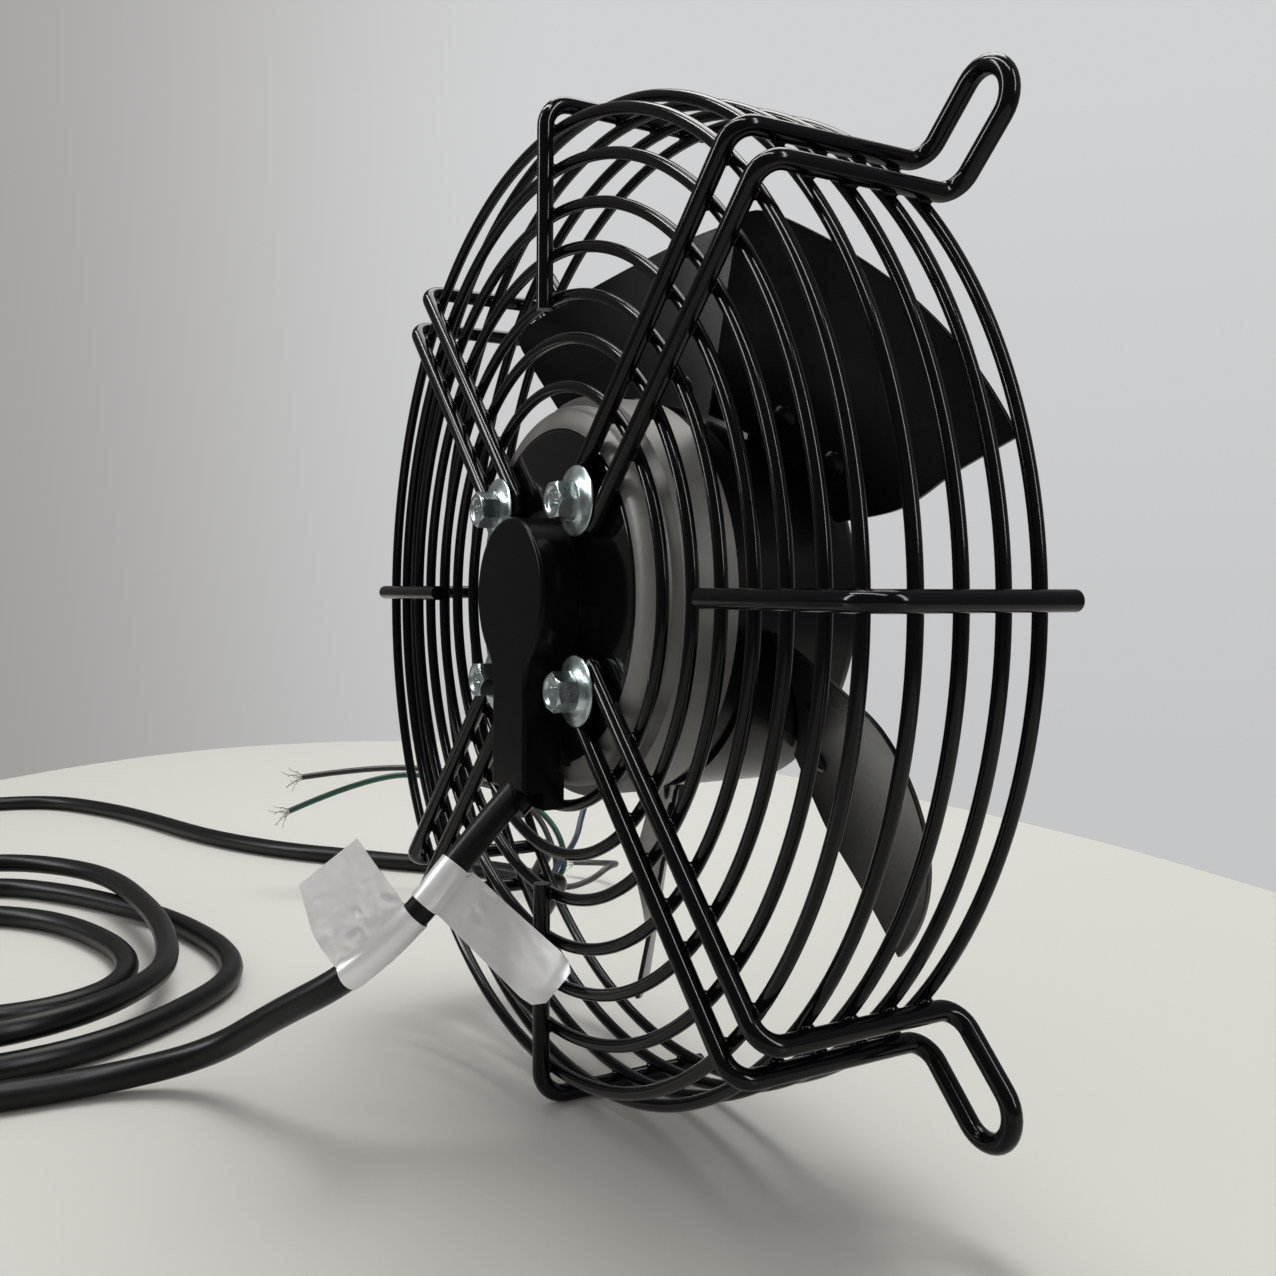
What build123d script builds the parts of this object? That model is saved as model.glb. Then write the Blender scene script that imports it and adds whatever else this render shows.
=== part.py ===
from build123d import *
import math
import os

# Axial fan of 200 mm nominal size: an external rotor motor hung in a welded wire guard.
# Every piece is built about the fan axis, with the axis along Y through the origin and
# the centrelines of the face spokes in the plane y = 0. The motor cover looks towards -Y,
# the mounting ears and the air outlet towards +Y. The last step stands the fan on z = 0.

# Guard wires
SPOKE_WIRE_D = 4.1
RING_WIRE_D = 2.85
WELD_DEPTH = 0.45
GUARD_R = 120.0
FACE_RING_RADII = (50.2, 61.6, 71.8, 82.7, 92.6, 103.3, 113.0)
WALL_RING_Y = (11.0, 21.3, 31.3, 40.2)
SPOKE_INNER_R = 69.0
SPOKE_END_Y = 45.8
SPOKE_BEND_R = 6.5
EAR_PITCH = 12.8
EAR_PLANE_Y = 47.2
EAR_REACH = 24.0
EAR_BEND_R = 5.0
SPOKE_COUNT = 4

# Bolts that clamp the guard to the motor
BOLT_CIRCLE_R = 30.3
BOLT_FLANGE_D = 16.2
BOLT_FLANGE_T = 1.8
BOLT_FLANGE_SLOPE_H = 1.1
BOLT_FLANGE_SLOPE_W = 2.2
BOLT_HEX_AF = 8.0
BOLT_HEX_H = 4.7
BOLT_RECESS_D = 5.6
BOLT_RECESS_DEPTH = 0.5
BOLT_SHANK_D = 5.0
BOLT_SHANK_L = 15.5
BOLT_CLEARANCE = 0.05
EDGE_BREAK = 0.3

# Motor end plate and the seat of the terminal cover
SEAT_GAP = 0.05
END_PLATE_R = 40.2
END_PLATE_T = 5.9
END_PLATE_EDGE_R = 1.2
COVER_SEAT_R = 20.3
COVER_SEAT_HALF_W = 10.6
COVER_SEAT_H = 2.5
SPIGOT_WALL = 1.8
SPIGOT_H = 3.0
SERVICE_BORE_R = 7.5
LEAD_SLOT_W = 11.4
LEAD_SLOT_H = 3.0
LEAD_SLOT_Z = -22.5

# Terminal cover
COVER_FRONT_Y = -9.3
COVER_HEAD_R = 18.5
COVER_NECK_HALF_W = 9.0
COVER_NECK_BOTTOM_Z = -46.0
COVER_BLEND_R = 10.0
COVER_WALL = 1.8
COVER_EDGE_R = 1.0
GLAND_MOUTH_Y = -9.3
GLAND_MOUTH_Z = -49.0
GLAND_PITCH_DEG = 45.5
GLAND_R = 5.4
GLAND_LENGTH = 9.0
GLAND_WALL_L = 6.0
COVER_FOOT_GAP = 1.7
COVER_FOOT_BOTTOM_Z = -50.0
COVER_FOOT_FRONT_Y = -4.0
COVER_RING_GAP = 0.35
CABLE_LEAD_OUT = 15.0
CABLE_CLEARANCE = 0.05
LOCK_RING_R = 4.6
LOCK_RING_T = 1.5
LOCK_RING_GAP = 2.0
LOCK_POCKET_R = 4.7

# Stator housing
HOUSING_R = 48.4
HOUSING_SHOULDER_R = 46.0
HOUSING_WALL = 1.4
HOUSING_FLOOR_T = 3.5
HOUSING_BACK_Y = 23.5
HOUSING_LIP_Y = 2.4
HOUSING_SHOULDER_ROUND = 5.0
HOUSING_BEAD_Y = 8.0
HOUSING_BEAD_H = 1.4
BOLT_BOSS_R = 5.5
BOLT_BOSS_H = 6.0
BOLT_TIP_GAP = 1.0

# Ball bearings, size 608
BEARING_BORE_R = 4.0
BEARING_OUTER_R = 11.0
BEARING_W = 7.0
BALL_D = 3.969
BALL_COUNT = 7
BALL_CIRCLE_R = 7.5
RACE_CLEARANCE = 0.05
RING_THICKNESS = 2.0
CAGE_W = 5.2
CAGE_T = 0.8
POCKET_CLEARANCE = 0.1
FRONT_BEARING_Y = 17.5
REAR_BEARING_Y = 49.5
TUBE_R = 14.0
PRELOAD_WASHER_T = 0.6
PRELOAD_WASHER_W = 1.8
SPACER_WALL = 0.95

# Stator pack and windings
STACK_FRONT_Y = 27.0
STACK_BACK_Y = 50.0
STATOR_R = 36.5
SLOT_COUNT = 12
SLOT_W = 8.4
SLOT_INNER_R = 19.0
SLOT_OUTER_R = 33.0
SLOT_MOUTH_W = 2.2
INSULATOR_T = 1.2
WINDING_GAP = 0.15
WINDING_END_L = 5.5
WINDING_LEAD_R = 0.7

# Rotor
AIR_GAP = 0.4
CAN_R = 46.4
CAN_WALL = 1.6
CAN_FRONT_Y = 20.5
CAN_BACK_Y = 61.3
CAN_EDGE_R = 5.0
CAN_VENT_COUNT = 6
CAN_VENT_W = 5.0
CAN_VENT_L = 14.0
CAN_VENT_R = 27.0
END_RING_T = 3.5
END_RING_W = 5.0
END_RING_GAP = 1.25
SHAFT_FRONT_Y = 9.0
SHAFT_HUB_R = 9.5
SHAFT_HUB_L = 5.0
SHAFT_CLEARANCE = 0.02
SHAFT_SHOULDER_R = 5.2
CIRCLIP_T = 0.8
CIRCLIP_R = 5.6
CIRCLIP_GROOVE_R = 3.5
CIRCLIP_GAP = 4.0

# Impeller
BLADE_COUNT = 5
BLADE_TIP_R = 100.0
BLADE_ROOT_GAP = 0.95
BLADE_DIRECTION_DEG = 38.5
BLADE_THICKNESS = 1.35
BLADE_MID_Y = 45.3
BLADE_SLOPE = 0.525
BLADE_CURVE = 0.005
BLADE_TWIST = 2.75e-5
BLADE_BACK_TIP_U = -33.5
BLADE_FRONT_TIP_U = 33.8
BLADE_BACK_ROOT_U = -15.0
BLADE_FRONT_ROOT_U = 20.0
BLADE_CORNER_R = 6.0
BLADE_SHEET_HALF_U = 37.0
BLADE_FRONT_EDGE = (28.3, 73.0)
BLADE_BACK_EDGE = ((-24.4, 62.0), (-28.4, 78.0))
BAND_T = 1.2
BAND_FRONT_Y = 30.0
BAND_BACK_Y = 56.0
TAB_HALF_W = 12.0
TAB_LENGTH = 14.4
TAB_T = 1.5
TAB_CORNER_R = 4.0
RIVET_U = (-7.0, 7.0)
RIVET_REACH = 8.9
RIVET_SHANK_R = 1.6
RIVET_HEAD_R = 2.9
RIVET_HEAD_H = 1.0

# Cable and leads
CABLE_D = 7.0
LEAD_D = 2.4
COIL_CENTRE_X = -190.0
COIL_CENTRE_Y = -171.0
COIL_HALF_L = 119.0
COIL_HALF_W = 110.0
COIL_WIDTH = 66.0
COIL_HEIGHT = 18.0
FOIL_T = 0.3
FOIL_CLEARANCE = 0.05
LONG_FLAG_L = 36.0
LONG_FLAG_W = 10.5
FOLDED_FLAG_L = 25.0
FOLDED_FLAG_W = 25.0
SPLICE_R = 1.4
SPLICE_X = (-4.5, -1.5, 1.5, 4.5)
SPLICE_TOP_Z = -20.0
SPLICE_L = 12.0
CORE_R = 0.6
SPLICE_FAN_IN = 0.4
CORD_ARC_SHARE = 0.45

# Routes of the cords, in the frame of the finished fan
NEAR_RUN = (
    (-1.6, -58.0, 51.0),
    (-9.6, -71.0, 36.0),
    (-29.0, -81.0, 21.5),
    (-49.0, -92.0, 9.0),
    (-59.0, -112.0, 3.6),
    (-60.5, -138.0, 3.5),
    (-65.0, -166.0, 3.5),
    (-77.0, -192.0, 3.5),
)
FAR_RUN = (
    (-252.0, -260.0, 3.5),
    (-300.0, -264.0, 3.5),
    (-350.0, -256.0, 3.5),
    (-402.0, -239.0, 3.5),
    (-452.0, -211.0, 3.5),
    (-488.0, -172.0, 3.5),
    (-503.0, -131.0, 3.5),
    (-497.0, -88.0, 3.5),
    (-456.0, -64.0, 3.5),
    (-411.0, -48.0, 3.5),
    (-358.0, -34.0, 3.5),
    (-323.0, -19.0, 3.5),
    (-296.0, -3.0, 3.5),
    (-275.0, 14.0, 3.5),
    (-255.0, 29.0, 3.5),
    (-236.0, 47.0, 3.5),
    (-216.0, 60.0, 3.5),
    (-194.0, 68.0, 3.5),
)
LEADS = {
    "lead_brown": (
        (-194.0, 68.0, 5.1),
        (-183.0, 72.0, 8.0),
        (-177.0, 74.0, 20.0),
        (-183.0, 70.0, 33.0),
        (-198.0, 56.0, 43.0),
        (-216.0, 34.0, 49.0),
        (-231.0, 8.0, 51.0),
        (-246.0, -18.0, 49.0),
    ),
    "lead_green": (
        (-194.6, 69.5, 3.4),
        (-185.0, 77.0, 5.0),
        (-179.0, 81.0, 16.0),
        (-186.0, 77.0, 28.0),
        (-200.0, 63.0, 37.0),
        (-217.0, 40.0, 42.0),
        (-231.0, 14.0, 40.0),
        (-247.0, -21.0, 34.0),
    ),
    "lead_blue": (
        (-193.4, 66.5, 3.4),
        (-183.0, 67.0, 3.6),
        (-172.0, 72.0, 8.0),
        (-167.0, 79.0, 19.0),
        (-172.0, 85.0, 31.0),
        (-183.0, 88.0, 41.0),
    ),
    "lead_grey": (
        (-194.0, 68.0, 1.9),
        (-184.0, 72.6, 2.0),
        (-173.0, 79.0, 3.0),
        (-168.0, 91.0, 5.0),
        (-176.0, 103.0, 5.0),
        (-190.0, 104.0, 2.4),
        (-202.0, 96.0, 1.3),
    ),
}

# Foil flags on the cable: place, cable direction and reach
LONG_FLAG = ((-1.0, -49.5, 58.8), (-1.0, -12.0, -11.0), (0.37, 0.63, -0.68))
FOLDED_FLAG = ((-7.0, -66.5, 41.0), (-8.0, -13.0, -15.0), (-0.1, -0.2, 1.0))

# Places worked out from the sizes above
RING_OFFSET = (SPOKE_WIRE_D + RING_WIRE_D) / 2 - WELD_DEPTH
WALL_RING_R = GUARD_R - RING_OFFSET
EAR_TIP_R = GUARD_R + EAR_REACH
PLATE_FRONT_Y = SPOKE_WIRE_D / 2
PLATE_BACK_Y = PLATE_FRONT_Y + END_PLATE_T
HOUSING_FLOOR_Y = PLATE_BACK_Y + SEAT_GAP
FLANGE_SEAT_Y = -SPOKE_WIRE_D / 2
COVER_SEAT_Y = PLATE_FRONT_Y - COVER_SEAT_H
SHOULDER_Y = FRONT_BEARING_Y - BEARING_W / 2 - PRELOAD_WASHER_T
TUBE_BACK_Y = REAR_BEARING_Y + BEARING_W / 2
CAN_INNER_R = CAN_R - CAN_WALL
ROTOR_CORE_R = STATOR_R + AIR_GAP
BAND_R = CAN_R + SEAT_GAP + BAND_T
BLADE_ROOT_R = BAND_R + BLADE_ROOT_GAP
TAB_TIP_V = BLADE_ROOT_R + TAB_LENGTH
RIVET_V = BLADE_ROOT_R + RIVET_REACH
GLAND_DIRECTION = (0, -math.sin(math.radians(GLAND_PITCH_DEG)), -math.cos(math.radians(GLAND_PITCH_DEG)))
GLAND_MOUTH = Vector(0, GLAND_MOUTH_Y, GLAND_MOUTH_Z)
SHEATH_END = GLAND_MOUTH - Vector(*GLAND_DIRECTION) * GLAND_LENGTH
COVER_FOOT_TOP_Z = -END_PLATE_R - COVER_FOOT_GAP
HOUSING_FLOOR_BACK_Y = HOUSING_FLOOR_Y + HOUSING_FLOOR_T
BOSS_BACK_Y = HOUSING_FLOOR_BACK_Y + BOLT_BOSS_H
BOLT_TIP_Y = FLANGE_SEAT_Y + BOLT_SHANK_L
CIRCLIP_Y = FRONT_BEARING_Y - BEARING_W / 2 - SEAT_GAP - CIRCLIP_T
AXIS_HEIGHT = GUARD_R + SPOKE_WIRE_D / 2
SHIFT_Y = -(COVER_FRONT_Y + CAN_BACK_Y) / 2
STAND = Pos(0, SHIFT_Y, AXIS_HEIGHT)


def write(name, shape):
    """Write one node as a STEP file named after it."""
    shape.label = name
    export_step(shape, os.path.join("parts", name + ".step"))


def around(shape, degrees):
    """Turn a shape about the fan axis, from +X towards +Z."""
    return Rot(0, -degrees, 0) * shape


def turned(points):
    """Revolve a closed outline of (radius, y) points about the fan axis."""
    return revolve(make_face(Polyline(*points, close=True)), Axis.Y)


def along_gland(distance):
    """A point on the gland's axis, counted outwards from its mouth."""
    return GLAND_MOUTH + Vector(*GLAND_DIRECTION) * distance


def near_route():
    """Route of the cable out of the gland and down to the coil, in the finished fan's frame."""
    lift = Vector(0, SHIFT_Y, AXIS_HEIGHT)
    return (tuple(SHEATH_END + lift), tuple(along_gland(CABLE_LEAD_OUT) + lift), *NEAR_RUN)


def tube(outer, inner, front_y, back_y):
    """A round wall about the fan axis between two planes."""
    return turned([(inner, front_y), (outer, front_y), (outer, back_y), (inner, back_y)])


def slab(sketch, front_y, back_y):
    """Extrude a sketch drawn in X and Z from the front plane to the back plane."""
    plane = Plane(origin=(0, back_y, 0), x_dir=(1, 0, 0), z_dir=(0, -1, 0))
    return extrude(plane * sketch, amount=back_y - front_y)


def rod(start, end, radius):
    """A straight round bar between two points."""
    axis = Vector(*end) - Vector(*start)
    return extrude(Plane(origin=start, z_dir=axis) * Circle(radius), amount=axis.length)


def swept(path, radius):
    """A round bar along a path."""
    start = Plane(origin=path @ 0, z_dir=path % 0)
    return sweep(start * Circle(radius), path=path)


def wire_ring(radius, y):
    """One closed ring of the guard."""
    return Pos(0, y, 0) * (Rot(90, 0, 0) * Torus(radius, RING_WIRE_D / 2))


def spoke():
    """A single spoke at +X: along the face, round the corner and back along the wall."""
    path = FilletPolyline(
        (SPOKE_INNER_R, 0, 0),
        (GUARD_R, 0, 0),
        (GUARD_R, SPOKE_END_Y, 0),
        radius=SPOKE_BEND_R,
    )
    return swept(path, SPOKE_WIRE_D / 2)


def ear_spoke():
    """A double spoke at +X: one wire looped round the bolt and out to the mounting ear."""
    half = EAR_PITCH / 2
    wire_r = SPOKE_WIRE_D / 2
    loop = None
    for side in (half, -half):
        leg = FilletPolyline(
            (BOLT_CIRCLE_R, 0, side),
            (GUARD_R, 0, side),
            (GUARD_R, EAR_PLANE_Y, side),
            (EAR_TIP_R - half, EAR_PLANE_Y, side),
            radius=EAR_BEND_R,
        )
        bar = swept(leg, wire_r)
        loop = bar if loop is None else loop + bar
    inner = ThreePointArc((BOLT_CIRCLE_R, 0, half), (BOLT_CIRCLE_R - half, 0, 0), (BOLT_CIRCLE_R, 0, -half))
    tip_r = EAR_TIP_R - half
    outer = ThreePointArc(
        (tip_r, EAR_PLANE_Y, half),
        (EAR_TIP_R, EAR_PLANE_Y, 0),
        (tip_r, EAR_PLANE_Y, -half),
    )
    return loop + swept(inner, wire_r) + swept(outer, wire_r)


def bolt():
    """A hexagon bolt with a round flange, at +X on the bolt circle."""
    flange_front = FLANGE_SEAT_Y - BOLT_FLANGE_T
    face_y = flange_front - BOLT_HEX_H
    flange = slab(Circle(BOLT_FLANGE_D / 2), flange_front, FLANGE_SEAT_Y)
    flange = chamfer(flange.edges().group_by(Axis.Y)[0], BOLT_FLANGE_SLOPE_H, BOLT_FLANGE_SLOPE_W)
    head = slab(RegularPolygon(BOLT_HEX_AF / 2, 6, major_radius=False), face_y, flange_front)
    head -= slab(Circle(BOLT_RECESS_D / 2), face_y, face_y + BOLT_RECESS_DEPTH)
    shank = slab(Circle(BOLT_SHANK_D / 2), FLANGE_SEAT_Y, FLANGE_SEAT_Y + BOLT_SHANK_L)
    shank = chamfer(shank.edges().group_by(Axis.Y)[-1], EDGE_BREAK)
    return Pos(BOLT_CIRCLE_R, 0, 0) * (flange + head + shank)


def keyhole(head_r, neck_half_w, bottom_z):
    """Outline of a round head with a straight neck that hangs below it."""
    outline = Circle(head_r) + Pos(0, bottom_z / 2) * Rectangle(2 * neck_half_w, -bottom_z)
    inner = [v for v in outline.vertices() if bottom_z + EDGE_BREAK < v.Y < 0]
    return fillet(inner, COVER_BLEND_R)


def bolt_holes(radius, front_y, back_y):
    """Cutters for the four guard bolts."""
    hole = Pos(BOLT_CIRCLE_R, 0, 0) * slab(Circle(radius), front_y, back_y)
    return [around(hole, 45 + 90 * i) for i in range(SPOKE_COUNT)]


def lead_slot(front_y, back_y):
    """Cutter for the slot that brings the winding leads forward."""
    return slab(Pos(0, LEAD_SLOT_Z) * SlotOverall(LEAD_SLOT_W, LEAD_SLOT_H), front_y, back_y)


def end_plate():
    """Black front disc of the motor with the raised seat of the terminal cover."""
    plate = tube(END_PLATE_R, SERVICE_BORE_R, PLATE_FRONT_Y, PLATE_BACK_Y)
    plate = fillet(plate.edges().group_by(Axis.Y)[0].sort_by(SortBy.RADIUS)[-1], END_PLATE_EDGE_R)
    seat_outline = keyhole(COVER_SEAT_R, COVER_SEAT_HALF_W, -END_PLATE_R + EDGE_BREAK)
    seat = slab(seat_outline, COVER_SEAT_Y, PLATE_FRONT_Y)
    spigot_r = COVER_HEAD_R - COVER_WALL - SEAT_GAP
    spigot = tube(spigot_r, spigot_r - SPIGOT_WALL, COVER_SEAT_Y - SPIGOT_H, COVER_SEAT_Y)
    way_down = Pos(0, -COVER_HEAD_R) * Rectangle(2 * COVER_NECK_HALF_W, 2 * COVER_HEAD_R)
    spigot -= slab(way_down, COVER_FRONT_Y, COVER_SEAT_Y)
    body = plate + seat + spigot
    body -= slab(Circle(SERVICE_BORE_R), COVER_FRONT_Y, PLATE_BACK_Y)
    body -= lead_slot(COVER_FRONT_Y, PLATE_BACK_Y)
    for hole in bolt_holes(BOLT_SHANK_D / 2 + BOLT_CLEARANCE, COVER_FRONT_Y, PLATE_BACK_Y):
        body -= hole
    return body


def terminal_cover():
    """Black cover over the lead joints: round head, neck, foot and slanted cable gland."""
    body = slab(keyhole(COVER_HEAD_R, COVER_NECK_HALF_W, COVER_NECK_BOTTOM_Z), COVER_FRONT_Y, COVER_SEAT_Y)
    body = fillet(body.edges().group_by(Axis.Y)[0], COVER_EDGE_R)
    body -= slab(
        keyhole(COVER_HEAD_R - COVER_WALL, COVER_NECK_HALF_W - COVER_WALL, COVER_NECK_BOTTOM_Z + COVER_WALL),
        COVER_FRONT_Y + COVER_WALL,
        COVER_SEAT_Y,
    )
    foot_height = COVER_FOOT_TOP_Z - COVER_FOOT_BOTTOM_Z
    foot = Pos(0, COVER_FOOT_TOP_Z - foot_height / 2) * Rectangle(2 * COVER_NECK_HALF_W, foot_height)
    body += slab(foot, COVER_FOOT_FRONT_Y, RING_OFFSET - RING_WIRE_D / 2 - COVER_RING_GAP)
    gland = rod(along_gland(-GLAND_WALL_L), GLAND_MOUTH, GLAND_R)
    keep_out = Pos(0, COVER_FRONT_Y - GLAND_R, GLAND_MOUTH_Z) * Box(4 * GLAND_R, 2 * GLAND_R, 8 * GLAND_R)
    body += gland - keep_out
    pocket_end = along_gland(-GLAND_LENGTH + LOCK_RING_T + SEAT_GAP)
    body -= rod(along_gland(-GLAND_LENGTH - CABLE_D / 2), pocket_end, LOCK_POCKET_R)
    body -= rod(SHEATH_END, along_gland(GLAND_LENGTH), CABLE_D / 2 + CABLE_CLEARANCE)
    return body


def cable_lock_ring():
    """Steel ring that grips the sheath behind the gland and keeps it from being pulled out."""
    start = along_gland(-GLAND_LENGTH + SEAT_GAP)
    end = along_gland(-GLAND_LENGTH + LOCK_RING_T)
    ring = rod(start, end, LOCK_RING_R) - rod(start, end, CABLE_D / 2 + CABLE_CLEARANCE)
    split = Pos(0, start.Y - LOCK_RING_R, start.Z) * Box(LOCK_RING_GAP, 2 * LOCK_RING_R, 2 * LOCK_RING_R)
    return ring - split


def lead_splices():
    """Crimped joints between the winding leads and the cores of the cable."""
    splices = []
    y = COVER_SEAT_Y - SEAT_GAP - SPLICE_R
    for x in SPLICE_X:
        crimp = rod((x, y, SPLICE_TOP_Z), (x, y, SPLICE_TOP_Z - SPLICE_L), SPLICE_R)
        core_end = (x * SPLICE_FAN_IN, SHEATH_END.Y, SHEATH_END.Z)
        core = rod((x, y, SPLICE_TOP_Z - SPLICE_L), core_end, CORE_R)
        splices.append(crimp + core)
    return Compound(children=splices)


def stator_housing():
    """Grey cast housing: flange, rim round the rotor and the tube that holds the bearings."""
    seat_r = END_PLATE_R + SEAT_GAP
    round_r = HOUSING_SHOULDER_ROUND
    round_x = HOUSING_SHOULDER_R - round_r
    lean = round_r * math.sin(math.radians(45))
    shoulder = ThreePointArc(
        (round_x, HOUSING_LIP_Y),
        (round_x + lean, HOUSING_LIP_Y + round_r - lean),
        (HOUSING_SHOULDER_R, HOUSING_LIP_Y + round_r),
    )
    walls = Polyline(
        shoulder @ 1,
        (HOUSING_SHOULDER_R, HOUSING_BEAD_Y),
        (HOUSING_R, HOUSING_BEAD_Y + HOUSING_BEAD_H),
        (HOUSING_R, HOUSING_BACK_Y),
        (HOUSING_R - HOUSING_WALL, HOUSING_BACK_Y),
        (HOUSING_R - HOUSING_WALL, HOUSING_FLOOR_BACK_Y),
        (TUBE_R, HOUSING_FLOOR_BACK_Y),
        (TUBE_R, TUBE_BACK_Y),
        (BEARING_OUTER_R + SEAT_GAP, TUBE_BACK_Y),
        (BEARING_OUTER_R + SEAT_GAP, SHOULDER_Y),
        (SERVICE_BORE_R, SHOULDER_Y),
        (SERVICE_BORE_R, HOUSING_FLOOR_Y),
        (seat_r, HOUSING_FLOOR_Y),
        (seat_r, HOUSING_LIP_Y),
        shoulder @ 0,
    )
    body = revolve(make_face([shoulder, walls]), Axis.Y)
    for i in range(SPOKE_COUNT):
        boss = slab(Circle(BOLT_BOSS_R), HOUSING_FLOOR_BACK_Y - EDGE_BREAK, BOSS_BACK_Y)
        body += around(Pos(BOLT_CIRCLE_R, 0, 0) * boss, 45 + 90 * i)
    body -= lead_slot(HOUSING_FLOOR_Y, HOUSING_FLOOR_BACK_Y)
    for hole in bolt_holes(BOLT_SHANK_D / 2 + BOLT_CLEARANCE, HOUSING_FLOOR_Y, BOLT_TIP_Y + BOLT_TIP_GAP):
        body -= hole
    return body


def slots(margin, front_y, back_y):
    """The winding slots of the stator stack, each one smaller all round by a margin."""
    length = SLOT_OUTER_R - SLOT_INNER_R - 2 * margin
    pocket = Pos((SLOT_OUTER_R + SLOT_INNER_R) / 2, 0) * SlotOverall(length, SLOT_W - 2 * margin)
    bar = slab(pocket, front_y, back_y)
    return [around(bar, 360 * i / SLOT_COUNT) for i in range(SLOT_COUNT)]


def stator_core():
    """Laminated steel stack with its slots and their narrow mouths."""
    body = tube(STATOR_R, TUBE_R + SEAT_GAP, STACK_FRONT_Y, STACK_BACK_Y)
    mouth_length = STATOR_R - SLOT_OUTER_R + SLOT_W / 2
    mouth = Pos(STATOR_R - mouth_length / 2 + EDGE_BREAK, 0) * Rectangle(mouth_length, SLOT_MOUTH_W)
    mouth = slab(mouth, STACK_FRONT_Y, STACK_BACK_Y)
    for i, slot in enumerate(slots(0, STACK_FRONT_Y, STACK_BACK_Y)):
        body -= slot
        body -= around(mouth, 360 * i / SLOT_COUNT)
    return body


def stator_insulators():
    """Two moulded end caps between the stack and the ends of the winding."""
    caps = []
    for front_y in (STACK_FRONT_Y - SEAT_GAP - INSULATOR_T, STACK_BACK_Y + SEAT_GAP):
        cap = tube(SLOT_OUTER_R + INSULATOR_T, TUBE_R + SEAT_GAP, front_y, front_y + INSULATOR_T)
        for slot in slots(WINDING_GAP / 2, front_y, front_y + INSULATOR_T):
            cap -= slot
        caps.append(cap)
    return Compound(children=caps)


def stator_windings():
    """Copper winding: bars in the slots, a ring at each end and the four lead wires."""
    front_y = STACK_FRONT_Y - 2 * SEAT_GAP - INSULATOR_T
    back_y = STACK_BACK_Y + 2 * SEAT_GAP + INSULATOR_T
    inner = SLOT_INNER_R + WINDING_GAP
    outer = SLOT_OUTER_R - WINDING_GAP
    body = tube(outer, inner, front_y - WINDING_END_L, front_y)
    body += tube(outer, inner, back_y, back_y + WINDING_END_L)
    for bar in slots(WINDING_GAP, front_y, back_y):
        body += bar
    for x in SPLICE_X:
        lead_front = COVER_SEAT_Y - SEAT_GAP
        lead_back = front_y - WINDING_END_L / 2
        body += rod((x, lead_front, LEAD_SLOT_Z), (x, lead_back, LEAD_SLOT_Z), WINDING_LEAD_R)
    return body


def bearing_outer_ring(y):
    """Outer ring of a ball bearing with its race."""
    front, back = y - BEARING_W / 2, y + BEARING_W / 2
    body = tube(BEARING_OUTER_R, BEARING_OUTER_R - RING_THICKNESS, front, back)
    return body - Pos(0, y, 0) * (Rot(90, 0, 0) * Torus(BALL_CIRCLE_R, BALL_D / 2 + RACE_CLEARANCE))


def bearing_inner_ring(y):
    """Inner ring of a ball bearing with its race."""
    front, back = y - BEARING_W / 2, y + BEARING_W / 2
    body = tube(BEARING_BORE_R + RING_THICKNESS, BEARING_BORE_R + SHAFT_CLEARANCE, front, back)
    return body - Pos(0, y, 0) * (Rot(90, 0, 0) * Torus(BALL_CIRCLE_R, BALL_D / 2 + RACE_CLEARANCE))


def bearing_balls(y):
    """The balls of one bearing, evenly spaced."""
    first = Pos(BALL_CIRCLE_R, y, 0) * Sphere(BALL_D / 2)
    return Compound(children=[around(first, 360 * (i + 0.5) / BALL_COUNT) for i in range(BALL_COUNT)])


def bearing_cage(y):
    """Cage that keeps the balls evenly apart."""
    half_t = CAGE_T / 2
    body = tube(BALL_CIRCLE_R + half_t, BALL_CIRCLE_R - half_t, y - CAGE_W / 2, y + CAGE_W / 2)
    pocket = rod((BEARING_BORE_R, y, 0), (BEARING_OUTER_R, y, 0), BALL_D / 2 + POCKET_CLEARANCE)
    for i in range(BALL_COUNT):
        body -= around(pocket, 360 * (i + 0.5) / BALL_COUNT)
    return body


def bearing_spacer():
    """Sleeve that holds the two outer rings apart."""
    gap = 2 * SEAT_GAP
    front = FRONT_BEARING_Y + BEARING_W / 2 + gap
    back = REAR_BEARING_Y - BEARING_W / 2 - gap
    outer = BEARING_OUTER_R - SEAT_GAP
    return tube(outer, outer - SPACER_WALL, front, back)


def preload_washer():
    """Dished spring washer between the shoulder of the tube and the front bearing."""
    back = FRONT_BEARING_Y - BEARING_W / 2 - SEAT_GAP
    front = SHOULDER_Y + SEAT_GAP
    thick = (back - front) / 2
    outer = BEARING_OUTER_R - SEAT_GAP
    inner = BEARING_OUTER_R - PRELOAD_WASHER_W
    return turned([(inner, front), (outer, back - thick), (outer, back), (inner, front + thick)])


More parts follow.
